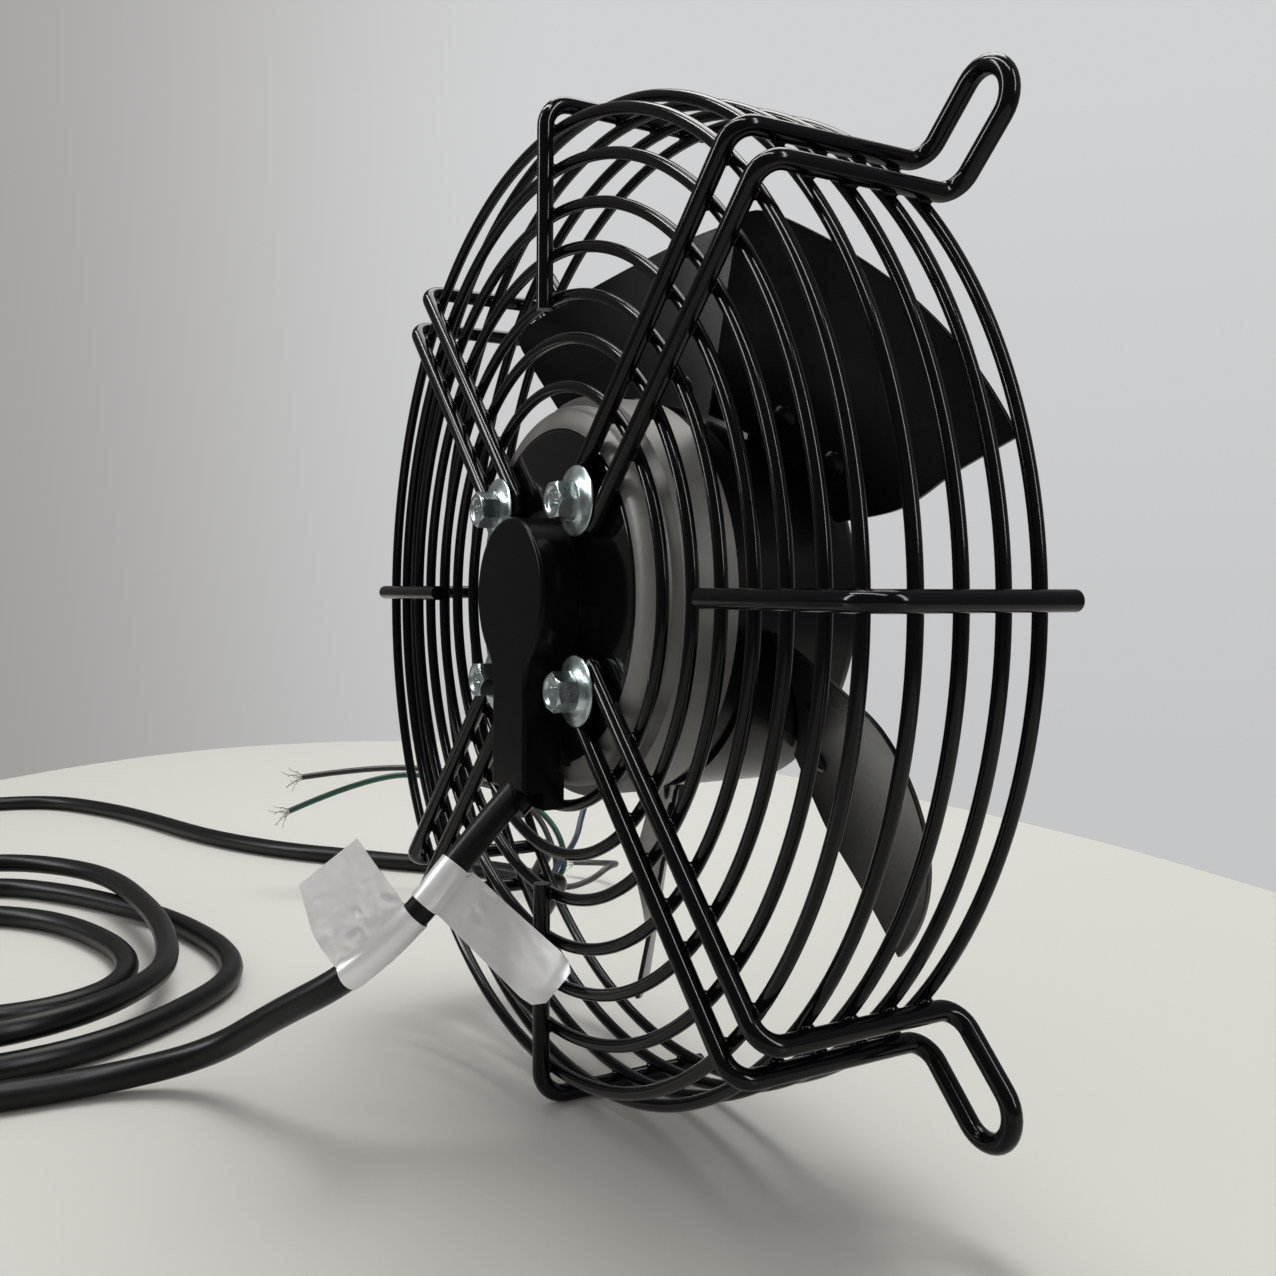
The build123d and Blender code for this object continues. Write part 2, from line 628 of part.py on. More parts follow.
def shaft():
    """Steel shaft, shouldered behind the rear bearing and pressed into the rotor."""
    shoulder_y = REAR_BEARING_Y + BEARING_W / 2 + SEAT_GAP
    hub_y = CAN_BACK_Y - CAN_WALL - SHAFT_HUB_L
    groove_y = CIRCLIP_Y - SEAT_GAP
    return turned([
        (0, SHAFT_FRONT_Y),
        (BEARING_BORE_R - EDGE_BREAK, SHAFT_FRONT_Y),
        (BEARING_BORE_R, SHAFT_FRONT_Y + EDGE_BREAK),
        (BEARING_BORE_R, groove_y),
        (CIRCLIP_GROOVE_R, groove_y),
        (CIRCLIP_GROOVE_R, CIRCLIP_Y + CIRCLIP_T + SEAT_GAP),
        (BEARING_BORE_R, CIRCLIP_Y + CIRCLIP_T + SEAT_GAP),
        (BEARING_BORE_R, shoulder_y),
        (SHAFT_SHOULDER_R, shoulder_y),
        (SHAFT_SHOULDER_R, hub_y),
        (BEARING_BORE_R, hub_y),
        (BEARING_BORE_R, CAN_BACK_Y - EDGE_BREAK),
        (0, CAN_BACK_Y - EDGE_BREAK),
    ])


def shaft_circlip():
    """Open retaining ring in the groove at the front end of the shaft."""
    ring = tube(CIRCLIP_R, CIRCLIP_GROOVE_R + SEAT_GAP, CIRCLIP_Y, CIRCLIP_Y + CIRCLIP_T)
    return ring - Pos(0, CIRCLIP_Y, CIRCLIP_R) * Box(CIRCLIP_GAP, 4 * CIRCLIP_T, 2 * CIRCLIP_R)


def rotor_can():
    """Deep drawn black shell of the rotor with its hub and cooling slots."""
    inner_back = CAN_BACK_Y - CAN_WALL
    body = turned([
        (BEARING_BORE_R + SHAFT_CLEARANCE, inner_back - SHAFT_HUB_L + SEAT_GAP),
        (SHAFT_HUB_R, inner_back - SHAFT_HUB_L + SEAT_GAP),
        (SHAFT_HUB_R, inner_back),
        (CAN_INNER_R, inner_back),
        (CAN_INNER_R, CAN_FRONT_Y),
        (CAN_R, CAN_FRONT_Y),
        (CAN_R, CAN_BACK_Y),
        (BEARING_BORE_R + SHAFT_CLEARANCE, CAN_BACK_Y),
    ])
    rim = body.edges().group_by(Axis.Y)[-1].sort_by(SortBy.RADIUS)[-1]
    body = fillet(rim, CAN_EDGE_R)
    corner = body.edges().filter_by(GeomType.CIRCLE)
    corner = corner.filter_by(lambda edge: abs(edge.radius - CAN_INNER_R) < 0.01)
    corner = corner.filter_by(lambda edge: abs(edge.center().Y - inner_back) < 0.01)
    body = fillet(corner, CAN_EDGE_R - CAN_WALL)
    vent = slab(Pos(CAN_VENT_R, 0) * SlotOverall(CAN_VENT_L, CAN_VENT_W), inner_back - CAN_WALL, CAN_BACK_Y)
    for i in range(CAN_VENT_COUNT):
        body -= around(vent, 360 * (i + 0.5) / CAN_VENT_COUNT)
    return body


def rotor_core():
    """Laminated ring of the squirrel cage rotor, pressed into the can."""
    return tube(CAN_INNER_R - SEAT_GAP, ROTOR_CORE_R, STACK_FRONT_Y, STACK_BACK_Y)


def rotor_end_rings():
    """Cast aluminium rings that join the rotor bars at both ends of the core."""
    outer = CAN_INNER_R - END_RING_GAP
    rings = []
    for front_y in (STACK_FRONT_Y - SEAT_GAP - END_RING_T, STACK_BACK_Y + SEAT_GAP):
        rings.append(tube(outer, outer - END_RING_W, front_y, front_y + END_RING_T))
    return Compound(children=rings)


def blade_y(u):
    """Height of the blade's front side over the guard plane, at a tangential place u."""
    return BLADE_MID_Y - BLADE_SLOPE * u - BLADE_CURVE * u**2 - BLADE_TWIST * u**3


def curved_sheet(front, back, first_v, last_v):
    """A sheet rolled to the blade's curve, between two offsets behind its front side."""
    places = [BLADE_SHEET_HALF_U * (i / 5 - 1) for i in range(11)]
    near = Spline([(-u, blade_y(u) + front) for u in places])
    far = Spline([(-u, blade_y(u) + back) for u in places])
    edges = [near, far, Line(near @ 0, far @ 0), Line(near @ 1, far @ 1)]
    return extrude(Plane(origin=(0, 0, first_v)) * make_face(edges), amount=last_v - first_v)


def on_circle(u, radius):
    """A plan point at tangential place u on a circle about the axis."""
    return (-u, math.sqrt(radius**2 - u**2))


def blade_outline():
    """Plan outline of one blade: sharp back corner, round front corner, curved root."""
    back_tip = on_circle(BLADE_BACK_TIP_U, BLADE_TIP_R)
    front_tip = on_circle(BLADE_FRONT_TIP_U, BLADE_TIP_R)
    front_root = on_circle(BLADE_FRONT_ROOT_U, BLADE_ROOT_R)
    back_root = on_circle(BLADE_BACK_ROOT_U, BLADE_ROOT_R)
    tip = ThreePointArc(back_tip, (0, BLADE_TIP_R), front_tip)
    front = ThreePointArc(front_tip, (-BLADE_FRONT_EDGE[0], BLADE_FRONT_EDGE[1]), front_root)
    root = ThreePointArc(front_root, (0, BLADE_ROOT_R), back_root)
    back = Spline(back_root, *[(-u, v) for u, v in BLADE_BACK_EDGE], back_tip)
    outline = make_face([tip, front, root, back])
    corner = [v for v in outline.vertices() if abs(v.X - front_tip[0]) + abs(v.Y - front_tip[1]) < 0.01]
    return fillet(corner, BLADE_CORNER_R)


def blade_slope(u):
    """How steeply the blade falls towards the guard at a tangential place u."""
    return BLADE_SLOPE + 2 * BLADE_CURVE * u + 3 * BLADE_TWIST * u**2


def rivet_plane(u):
    """Plane on the blade's front side, square to the sheet, for the rivet at u."""
    return Plane(origin=(-u, blade_y(u), RIVET_V), x_dir=(0, 0, 1), z_dir=(-blade_slope(u), 1, 0))


def rivet_holes():
    """Cutters for the rivets of one blade."""
    return [rivet_plane(u) * Cylinder(RIVET_SHANK_R, 8 * TAB_T) for u in RIVET_U]


def blade():
    """One pressed sheet blade, standing up along +Z."""
    sheet = curved_sheet(0, BLADE_THICKNESS, BLADE_ROOT_R / 2, BLADE_TIP_R + TAB_T)
    body = sheet & slab(blade_outline(), 0, CAN_BACK_Y + BLADE_TIP_R)
    for hole in rivet_holes():
        body -= hole
    return body


def blade_tab():
    """Tab of the carrier that lies behind the root of one blade."""
    low = BLADE_ROOT_R - 2 * BAND_T
    high = TAB_TIP_V
    outline = Pos(0, (low + high) / 2) * Rectangle(2 * TAB_HALF_W, high - low)
    outline = fillet(outline.vertices().group_by(Axis.Y)[-1], TAB_CORNER_R)
    first = BLADE_THICKNESS + SEAT_GAP
    sheet = curved_sheet(first, first + TAB_T, low / 2, high + TAB_T)
    body = sheet & slab(outline, 0, CAN_BACK_Y + BLADE_TIP_R)
    return body - Rot(90, 0, 0) * Cylinder(BAND_R - BAND_T / 2, 4 * CAN_BACK_Y)


def rivet(u):
    """A solid rivet through a blade and its tab."""
    stack = (BLADE_THICKNESS + SEAT_GAP + TAB_T) * math.cos(math.atan(blade_slope(u)))
    shank = Pos(0, 0, stack / 2) * Cylinder(RIVET_SHANK_R - SEAT_GAP / 2, stack + RIVET_HEAD_H)
    heads = []
    for z in (-RIVET_HEAD_H / 2 - SEAT_GAP, stack + RIVET_HEAD_H / 2 + SEAT_GAP):
        head = Pos(0, 0, z) * Cylinder(RIVET_HEAD_R, RIVET_HEAD_H)
        heads.append(head)
    return rivet_plane(u) * (heads[0] + shank + heads[1])


def blade_direction(index):
    """Direction of a blade round the axis, in degrees from +X towards +Z."""
    return BLADE_DIRECTION_DEG + 360 * index / BLADE_COUNT


def write_impeller():
    """Write the carrier band with its tabs, the blades and the rivets."""
    band = tube(BAND_R, CAN_R + SEAT_GAP, BAND_FRONT_Y, BAND_BACK_Y)
    blade_shape = blade()
    tab_shape = blade_tab()
    rivets = []
    for i in range(BLADE_COUNT):
        turn = blade_direction(i) - 90
        band += around(tab_shape, turn)
        write("blade_%d" % (i + 1), STAND * around(blade_shape, turn))
        rivets += [STAND * around(rivet(u), turn) for u in RIVET_U]
    for i in range(BLADE_COUNT):
        for hole in rivet_holes():
            band -= around(hole, blade_direction(i) - 90)
    write("blade_carrier", STAND * band)
    write("blade_rivets", Compound(children=rivets))


def soft_tube(name, points, diameter):
    """A cord along straight runs joined by the largest arcs that the runs allow."""
    places = [Vector(*p) for p in points]
    radii = []
    for before, here, after in zip(places, places[1:], places[2:]):
        turn = (here - before).get_angle(after - here)
        shorter = min((here - before).length, (after - here).length)
        radii.append(CORD_ARC_SHARE * shorter / math.tan(math.radians(turn / 2)))
    path = FilletPolyline(*places, radius=radii)
    body = swept(path, diameter / 2)
    expected = path.length * math.pi * diameter**2 / 4
    print(name, "length", round(path.length, 1), "radii", [round(r, 1) for r in radii])
    print(name, "volume over section times length", round(body.volume / expected, 4))
    write(name, body)


def coil_solid():
    """Outer shape of the loose coil on the floor, in the stand's frame."""
    ring = Ellipse(COIL_HALF_L, COIL_HALF_W) - Ellipse(COIL_HALF_L - COIL_WIDTH, COIL_HALF_W - COIL_WIDTH)
    return Pos(COIL_CENTRE_X, COIL_CENTRE_Y, 0) * extrude(ring, amount=COIL_HEIGHT)


def foil_flag(root, along, reach, length, width):
    """A foil label: a sleeve folded round the cable at root and a flat flag beside it."""
    axis = Vector(*along).normalized()
    out = Vector(*reach)
    out = (out - axis * out.dot(axis)).normalized()
    start = Vector(*root) - axis * (width / 2)
    inner_r = CABLE_D / 2 + FOIL_CLEARANCE
    body = rod(start, start + axis * width, inner_r + FOIL_T)
    body -= rod(start, start + axis * width, inner_r)
    plane = Plane(origin=Vector(*root) + out * (inner_r + FOIL_T / 2), x_dir=out, z_dir=axis.cross(out))
    flag = plane * Pos(length / 2, 0) * Rectangle(length, width)
    return body + Pos(plane.z_dir * -FOIL_T) * extrude(flag, amount=2 * FOIL_T)


def main():
    os.makedirs("parts", exist_ok=True)
    for i, radius in enumerate(FACE_RING_RADII):
        write("guard_face_ring_%d" % (i + 1), STAND * wire_ring(radius, RING_OFFSET))
    for i, y in enumerate(WALL_RING_Y):
        write("guard_wall_ring_%d" % (i + 1), STAND * wire_ring(WALL_RING_R, y))
    spoke_shape = spoke()
    ear_shape = ear_spoke()
    bolt_shape = bolt()
    for i in range(SPOKE_COUNT):
        write("guard_spoke_%d" % (i + 1), STAND * around(spoke_shape, 90 * i))
        write("guard_ear_spoke_%d" % (i + 1), STAND * around(ear_shape, 45 + 90 * i))
    bolts = [STAND * around(bolt_shape, 45 + 90 * i) for i in range(SPOKE_COUNT)]
    write("guard_bolts", Compound(children=bolts))
    write("motor_end_plate", STAND * end_plate())
    write("terminal_cover", STAND * terminal_cover())
    write("cable_lock_ring", STAND * cable_lock_ring())
    write("lead_splices", STAND * lead_splices())
    write("stator_housing", STAND * stator_housing())
    write("stator_core", STAND * stator_core())
    write("stator_insulators", STAND * stator_insulators())
    write("stator_windings", STAND * stator_windings())
    for place, y in (("front", FRONT_BEARING_Y), ("rear", REAR_BEARING_Y)):
        write(place + "_bearing_outer_ring", STAND * bearing_outer_ring(y))
        write(place + "_bearing_inner_ring", STAND * bearing_inner_ring(y))
        write(place + "_bearing_cage", STAND * bearing_cage(y))
        write(place + "_bearing_balls", STAND * bearing_balls(y))
    write("bearing_spacer", STAND * bearing_spacer())
    write("preload_washer", STAND * preload_washer())
    write("shaft", STAND * shaft())
    write("shaft_circlip", STAND * shaft_circlip())
    write("rotor_can", STAND * rotor_can())
    write("rotor_core", STAND * rotor_core())
    write("rotor_end_rings", STAND * rotor_end_rings())
    write_impeller()
    soft_tube("cable_near_run", near_route(), CABLE_D)
    write("cable_coil", coil_solid())
    soft_tube("cable_far_run", FAR_RUN, CABLE_D)
    for name, points in LEADS.items():
        soft_tube(name, points, LEAD_D)
    write("foil_flag_long", foil_flag(*LONG_FLAG, LONG_FLAG_L, LONG_FLAG_W))
    write("foil_flag_folded", foil_flag(*FOLDED_FLAG, FOLDED_FLAG_L, FOLDED_FLAG_W))


if __name__ == "__main__":
    main()
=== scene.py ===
import logging
import math
from dataclasses import dataclass
from enum import Enum
from typing import Callable, Iterable, Sequence

import bmesh
import bpy
from mathutils import Matrix, Vector, noise


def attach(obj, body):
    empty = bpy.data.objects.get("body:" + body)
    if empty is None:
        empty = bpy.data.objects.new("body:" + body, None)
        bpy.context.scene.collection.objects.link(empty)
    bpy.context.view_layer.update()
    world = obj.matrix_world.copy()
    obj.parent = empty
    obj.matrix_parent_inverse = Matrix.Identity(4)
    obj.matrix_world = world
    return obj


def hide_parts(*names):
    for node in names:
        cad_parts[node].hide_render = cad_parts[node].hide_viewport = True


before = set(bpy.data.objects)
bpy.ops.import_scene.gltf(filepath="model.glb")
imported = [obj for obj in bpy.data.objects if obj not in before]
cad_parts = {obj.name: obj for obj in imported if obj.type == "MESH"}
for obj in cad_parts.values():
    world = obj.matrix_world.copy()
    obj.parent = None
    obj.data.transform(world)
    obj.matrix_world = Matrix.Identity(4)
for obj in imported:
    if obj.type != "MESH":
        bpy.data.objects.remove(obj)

LOG = logging.getLogger("axial_fan")

MM = 0.001
AXIS_PLACE = Vector((0.0, -26.0, 122.05)) * MM
STATOR_BODY = "frame_and_stator"
ROTOR_BODY = "impeller"

Point = tuple[float, float, float]
Colour = tuple[float, float, float]
Pairs = Sequence[tuple[float, float]]
Faces = list[list[int]]
Sockets = dict[str, bpy.types.NodeSocket]

# The Mix node's factor and its two colours, which share their names with other sockets.
MIX_INPUTS = (0, 6, 7)
DOUBLES = 1e-7
SHARP_ANGLE = math.radians(38)
DIGIT_SHARP_ANGLE = math.radians(30)
SHEET_SHARP_ANGLE = math.radians(50)


def in_metres(points: Iterable[Sequence[float]]) -> list[Vector]:
    """Points in millimetres as vectors in metres."""
    return [Vector(point) * MM for point in points]


def numbered(stem: str, count: int) -> list[str]:
    """The stem with the numbers from 1 to count."""
    return [f"{stem}_{k + 1}" for k in range(count)]


def placed(name: str, data: bpy.types.ID) -> bpy.types.Object:
    """Make an object and link it to the scene.

    Args:
        name: The object's name.
        data: Its mesh, curve, lamp or camera.

    Returns:
        The object.
    """
    piece = bpy.data.objects.new(name, data)
    bpy.context.scene.collection.objects.link(piece)
    return piece


def mesh_of(piece: bpy.types.Object) -> bpy.types.Mesh:
    """Turn an object's final shape into a mesh and remove the object.

    Args:
        piece: The object, linked to the scene.

    Returns:
        The mesh, with modifiers and thickness applied.
    """
    bpy.context.view_layer.update()
    seen = piece.evaluated_get(bpy.context.evaluated_depsgraph_get())
    mesh = bpy.data.meshes.new_from_object(seen)
    bpy.data.objects.remove(piece)
    return mesh


class Graph:
    """A node tree with short calls for adding and linking nodes."""

    def __init__(self, tree: bpy.types.NodeTree) -> None:
        """Work on the given tree."""
        self.tree = tree

    def add(self, kind: str, settings: dict | None = None, **inputs: object) -> bpy.types.Node:
        """Add a node and give its sockets values or links.

        Args:
            kind: The node's type name.
            settings: Attributes of the node itself.
            inputs: Socket values or source sockets, by socket name with _ for a blank.

        Returns:
            The new node.
        """
        node = self.tree.nodes.new(kind)
        for key, value in (settings or {}).items():
            setattr(node, key, value)
        for key, value in inputs.items():
            self.feed(node.inputs[key.replace("_", " ")], value)
        return node

    def feed(self, socket: bpy.types.NodeSocket, value: object) -> None:
        """Link a source socket to an input, or set the input's own value.

        Args:
            socket: The input.
            value: A value or source socket.
        """
        if isinstance(value, bpy.types.NodeSocket):
            self.tree.links.new(value, socket)
        else:
            socket.default_value = value

    def math(self, operation: str, first: object, second: object = 0.0) -> bpy.types.NodeSocket:
        """A Math node on two values.

        Args:
            operation: The node's operation, such as MULTIPLY.
            first: A value or socket.
            second: A value or socket.

        Returns:
            The node's output socket.
        """
        node = self.tree.nodes.new("ShaderNodeMath")
        node.operation = operation
        self.feed(node.inputs[0], first)
        self.feed(node.inputs[1], second)
        return node.outputs[0]

    def blend(self, factor: object, first: object, second: object) -> bpy.types.NodeSocket:
        """A colour mix.

        Args:
            factor: How much of the second colour shows.
            first: The first colour or socket.
            second: The second colour or socket.

        Returns:
            The mixed colour's socket.
        """
        node = self.tree.nodes.new("ShaderNodeMix")
        node.data_type = "RGBA"
        for place, value in zip(MIX_INPUTS, (factor, first, second)):
            self.feed(node.inputs[place], value)
        return node.outputs[2]

    def cloud(self, scale: object, detail: float, roughness: float = 0.5) -> bpy.types.NodeSocket:
        """Noise over the object's own coordinates.

        Args:
            scale: A value or socket; features per metre.
            detail: How many finer layers are added.
            roughness: How strongly they show.

        Returns:
            The noise value's socket.
        """
        place = self.add("ShaderNodeTexCoord").outputs["Object"]
        node = self.add("ShaderNodeTexNoise", Vector=place, Scale=scale, Detail=detail, Roughness=roughness)
        return node.outputs["Fac"]

    def split_place(self, kind: str) -> bpy.types.bpy_prop_collection:
        """The X, Y and Z sockets of a texture coordinate of the given kind."""
        place = self.add("ShaderNodeTexCoord").outputs[kind]
        return self.add("ShaderNodeSeparateXYZ", Vector=place).outputs


class GroupLibrary:
    """The shader groups that several finishes share, each built once."""

    ridge_part: float = 0.6

    def __init__(self) -> None:
        """Build every shared group."""
        self.grain = self._grain()
        self.rings = self._rings()
        self.layers = self._layers()
        self.creases = self._creases()

    def _start(self, name: str, inputs: Sequence[str],
               outputs: Sequence[str] = ("Height",)) -> tuple[Graph, Sockets, Sockets]:
        """Start a group with number sockets.

        Args:
            name: The group's name.
            inputs: Names of its number inputs.
            outputs: Names of its number outputs.

        Returns:
            The graph, its input sockets and its output sockets by name.
        """
        tree = bpy.data.node_groups.new(name, "ShaderNodeTree")
        for side, labels in (("INPUT", inputs), ("OUTPUT", outputs)):
            for label in labels:
                tree.interface.new_socket(name=label, in_out=side, socket_type="NodeSocketFloat")
        graph = Graph(tree)
        source = graph.add("NodeGroupInput").outputs
        target = graph.add("NodeGroupOutput").inputs
        given = {label: source[label] for label in inputs}
        return graph, given, {label: target[label] for label in outputs}

    def _grain(self) -> bpy.types.NodeTree:
        """Even grain of a coated, cast or moulded surface, and slow patches in its tone.

        Returns:
            The group.
        """
        graph, given, made = self._start("surface_grain", ("Scale", "Patch Scale"), ("Height", "Patches"))
        graph.feed(made["Height"], graph.cloud(given["Scale"], detail=2.0, roughness=0.6))
        graph.feed(made["Patches"], graph.cloud(given["Patch Scale"], detail=4.0, roughness=0.55))
        return graph.tree

    def _rings(self) -> bpy.types.NodeTree:
        """Turning marks: fine circles about the fan's axis.

        Returns:
            The group.
        """
        graph, given, made = self._start("turning_marks", ("Scale",))
        place = graph.split_place("Object")
        level = graph.math("SUBTRACT", place["Z"], AXIS_PLACE.z)
        flat = graph.add("ShaderNodeCombineXYZ", X=place["X"], Z=level).outputs["Vector"]
        radius = graph.add("ShaderNodeVectorMath", {"operation": "LENGTH"}, Vector=flat).outputs["Value"]
        line = graph.add("ShaderNodeCombineXYZ", X=radius, Y=place["Y"]).outputs["Vector"]
        marks = graph.add("ShaderNodeTexNoise", Vector=line, Scale=given["Scale"], Detail=3.0)
        graph.feed(made["Height"], marks.outputs["Fac"])
        return graph.tree

    def _layers(self) -> bpy.types.NodeTree:
        """Stacked sheets or wound wire, seen as even bands along the fan's axis.

        Returns:
            The group.
        """
        graph, given, made = self._start("stacked_layers", ("Pitch", "Waver"))
        bands = graph.math("DIVIDE", graph.split_place("Object")["Y"], given["Pitch"])
        drift = graph.math("MULTIPLY", graph.cloud(scale=180.0, detail=1.0), given["Waver"])
        wave = graph.math("SINE", graph.math("MULTIPLY", graph.math("ADD", bands, drift), 2 * math.pi))
        graph.feed(made["Height"], graph.math("ABSOLUTE", wave))
        return graph.tree

    def _creases(self) -> bpy.types.NodeTree:
        """Sharp folds and dents of soft foil.

        Returns:
            The group.
        """
        graph, given, made = self._start("foil_creases", ("Scale",))
        place = graph.add("ShaderNodeTexCoord").outputs["Object"]
        cell = graph.add(
            "ShaderNodeTexVoronoi", {"feature": "DISTANCE_TO_EDGE"}, Vector=place, Scale=given["Scale"],
        )
        fold = graph.add("ShaderNodeMapRange", Value=cell.outputs["Distance"], From_Max=0.25)
        ridges = graph.math("MULTIPLY", fold.outputs["Result"], self.ridge_part)
        graph.feed(made["Height"], graph.math("ADD", ridges, graph.cloud(given["Scale"], detail=2.0)))
        return graph.tree


class Relief(Enum):
    """Which shared group gives a finish its fine relief, by the group's name in the library."""

    GRAIN = "grain"
    RINGS = "rings"
    LAYERS = "layers"
    CREASES = "creases"


@dataclass(frozen=True)
class Finish:
    """One finish of the fan, from its colour to its finest relief."""

    name: str
    slot: str
    colour: Colour
    roughness: float
    metallic: float = 0.0
    relief: Relief = Relief.GRAIN
    pitch: float = 900.0
    depth: float = 0.00002
    strength: float = 0.3
    patch_scale: float = 35.0
    patch_tone: float = 0.25
    patch_polish: float = 0.06
    coat: float = 0.0
    coat_roughness: float = 0.1
    specular: float = 0.5
    waver: float = 0.2

    def build(self, groups: GroupLibrary) -> bpy.types.Material:
        """Make the material.

        Args:
            groups: The shared shader groups.

        Returns:
            The finished material.
        """
        material = bpy.data.materials.new(self.name)
        material.use_nodes = True
        material.diffuse_color = (*self.colour, 1.0)
        graph = Graph(material.node_tree)
        shader = material.node_tree.nodes["Principled BSDF"].inputs
        grain = self._group(graph, groups.grain, {"Scale": self.pitch, "Patch Scale": self.patch_scale})
        patches = grain.outputs["Patches"]
        darker, lighter = (
            (*[min(1.0, channel * (1.0 + tone)) for channel in self.colour], 1.0)
            for tone in (-self.patch_tone, self.patch_tone)
        )
        swing = graph.math("MULTIPLY", graph.math("SUBTRACT", patches, 0.5), 2 * self.patch_polish)
        height = self._height(graph, groups, grain)
        bump = graph.add("ShaderNodeBump", Strength=self.strength, Distance=self.depth, Height=height)
        values = {
            "Metallic": self.metallic, "Coat Weight": self.coat, "Coat Roughness": self.coat_roughness,
            "Specular IOR Level": self.specular, "Base Color": graph.blend(patches, darker, lighter),
            "Roughness": graph.math("ADD", swing, self.roughness), "Normal": bump.outputs["Normal"],
        }
        for label, value in values.items():
            graph.feed(shader[label], value)
        return material

    def _group(self, graph: Graph, tree: bpy.types.NodeTree, values: dict[str, float]) -> bpy.types.Node:
        """Place a shared group with this finish's own values.

        Args:
            graph: The material's graph.
            tree: The shared group.
            values: Values of the group's inputs by name.

        Returns:
            The group node.
        """
        node = graph.add("ShaderNodeGroup", {"node_tree": tree})
        for label, value in values.items():
            node.inputs[label].default_value = value
        return node

    def _height(self, graph: Graph, groups: GroupLibrary, grain: bpy.types.Node) -> bpy.types.NodeSocket:
        """The relief's height.

        Args:
            graph: The material's graph.
            groups: The shared shader groups.
            grain: The grain group that the material already holds.

        Returns:
            The socket that drives the bump.
        """
        if self.relief is Relief.GRAIN:
            return grain.outputs["Height"]
        banded = self.relief is Relief.LAYERS
        values = {"Pitch": self.pitch, "Waver": self.waver} if banded else {"Scale": self.pitch}
        return self._group(graph, getattr(groups, self.relief.value), values).outputs["Height"]


GUARD_COAT = Finish(
    "guard_coat", "black_wire", (0.003, 0.003, 0.0035), 0.14, pitch=240, strength=0.02, specular=0.2,
    patch_polish=0.03,
)
BRIGHT_ZINC = Finish(
    "bright_zinc", "zinc", (0.42, 0.48, 0.485), 0.27, 1.0, pitch=1500, depth=0.00003, strength=0.12,
    patch_scale=220, patch_tone=0.22, patch_polish=0.12,
)
PLATE_COAT = Finish(
    "plate_coat", "black_plate", (0.003, 0.003, 0.0035), 0.12, pitch=420, strength=0.2, specular=0.25,
)
COVER_PLASTIC = Finish(
    "cover_plastic", "black_cover", (0.004, 0.004, 0.0045), 0.24, pitch=1900, strength=0.2, specular=0.08,
    patch_scale=90, patch_polish=0.07,
)
CAST_GREY = Finish(
    "cast_grey", "grey_cast", (0.19, 0.182, 0.17), 0.45, 0.3, pitch=1100, depth=0.00009, strength=0.45,
    patch_scale=110, patch_tone=0.3,
)
ROTOR_COAT = Finish(
    "rotor_coat", "black_sheet", (0.0025, 0.0025, 0.003), 0.27, pitch=900, strength=0.12, specular=0.16,
    patch_polish=0.08,
)
PLAIN_STEEL = Finish(
    "plain_steel", "steel", (0.42, 0.42, 0.41), 0.34, 1.0, Relief.RINGS, 1500, patch_tone=0.15,
)
GROUND_STEEL = Finish(
    "ground_steel", "bright_steel", (0.68, 0.68, 0.67), 0.14, 1.0, Relief.RINGS, 4000, strength=0.15,
)
STACKED_STEEL = Finish(
    "stacked_steel", "steel", (0.30, 0.30, 0.30), 0.42, 1.0, Relief.LAYERS, 0.001, 0.00008, 0.6,
    patch_tone=0.2,
)
WOUND_COPPER = Finish(
    "wound_copper", "copper", (0.50, 0.19, 0.07), 0.28, 0.9, Relief.LAYERS, 0.0011, 0.00025, 0.9, coat=0.5,
)
WHITE_PLASTIC = Finish("white_plastic", "white_plastic", (0.72, 0.71, 0.66), 0.45, pitch=1600)
CAST_ALUMINIUM = Finish(
    "cast_aluminium", "grey_cast", (0.52, 0.52, 0.51), 0.4, 1.0, pitch=900, depth=0.00006,
)
SHEATH = Finish(
    "cable_sheath", "cable_sheath", (0.005, 0.0052, 0.005), 0.36, pitch=420, depth=0.00005, strength=0.2,
    patch_scale=18, patch_polish=0.08, specular=0.22,
)
BROWN_CORE = Finish("brown_core", "brown_core", (0.020, 0.015, 0.013), 0.35)
GREEN_CORE = Finish("green_core", "green_core", (0.003, 0.075, 0.045), 0.33)
BLUE_CORE = Finish("blue_core", "blue_core", (0.02, 0.035, 0.085), 0.36)
GREY_CORE = Finish("grey_core", "grey_core", (0.06, 0.062, 0.058), 0.4)
COPPER_STRAND = Finish("copper_strand", "copper", (0.16, 0.085, 0.055), 0.35, 0.9)
FOIL = Finish(
    "label_foil", "foil", (0.92, 0.92, 0.93), 0.38, 0.35, Relief.CREASES, 150, 0.0002, 0.22,
    patch_scale=120, patch_tone=0.05, patch_polish=0.08,
)


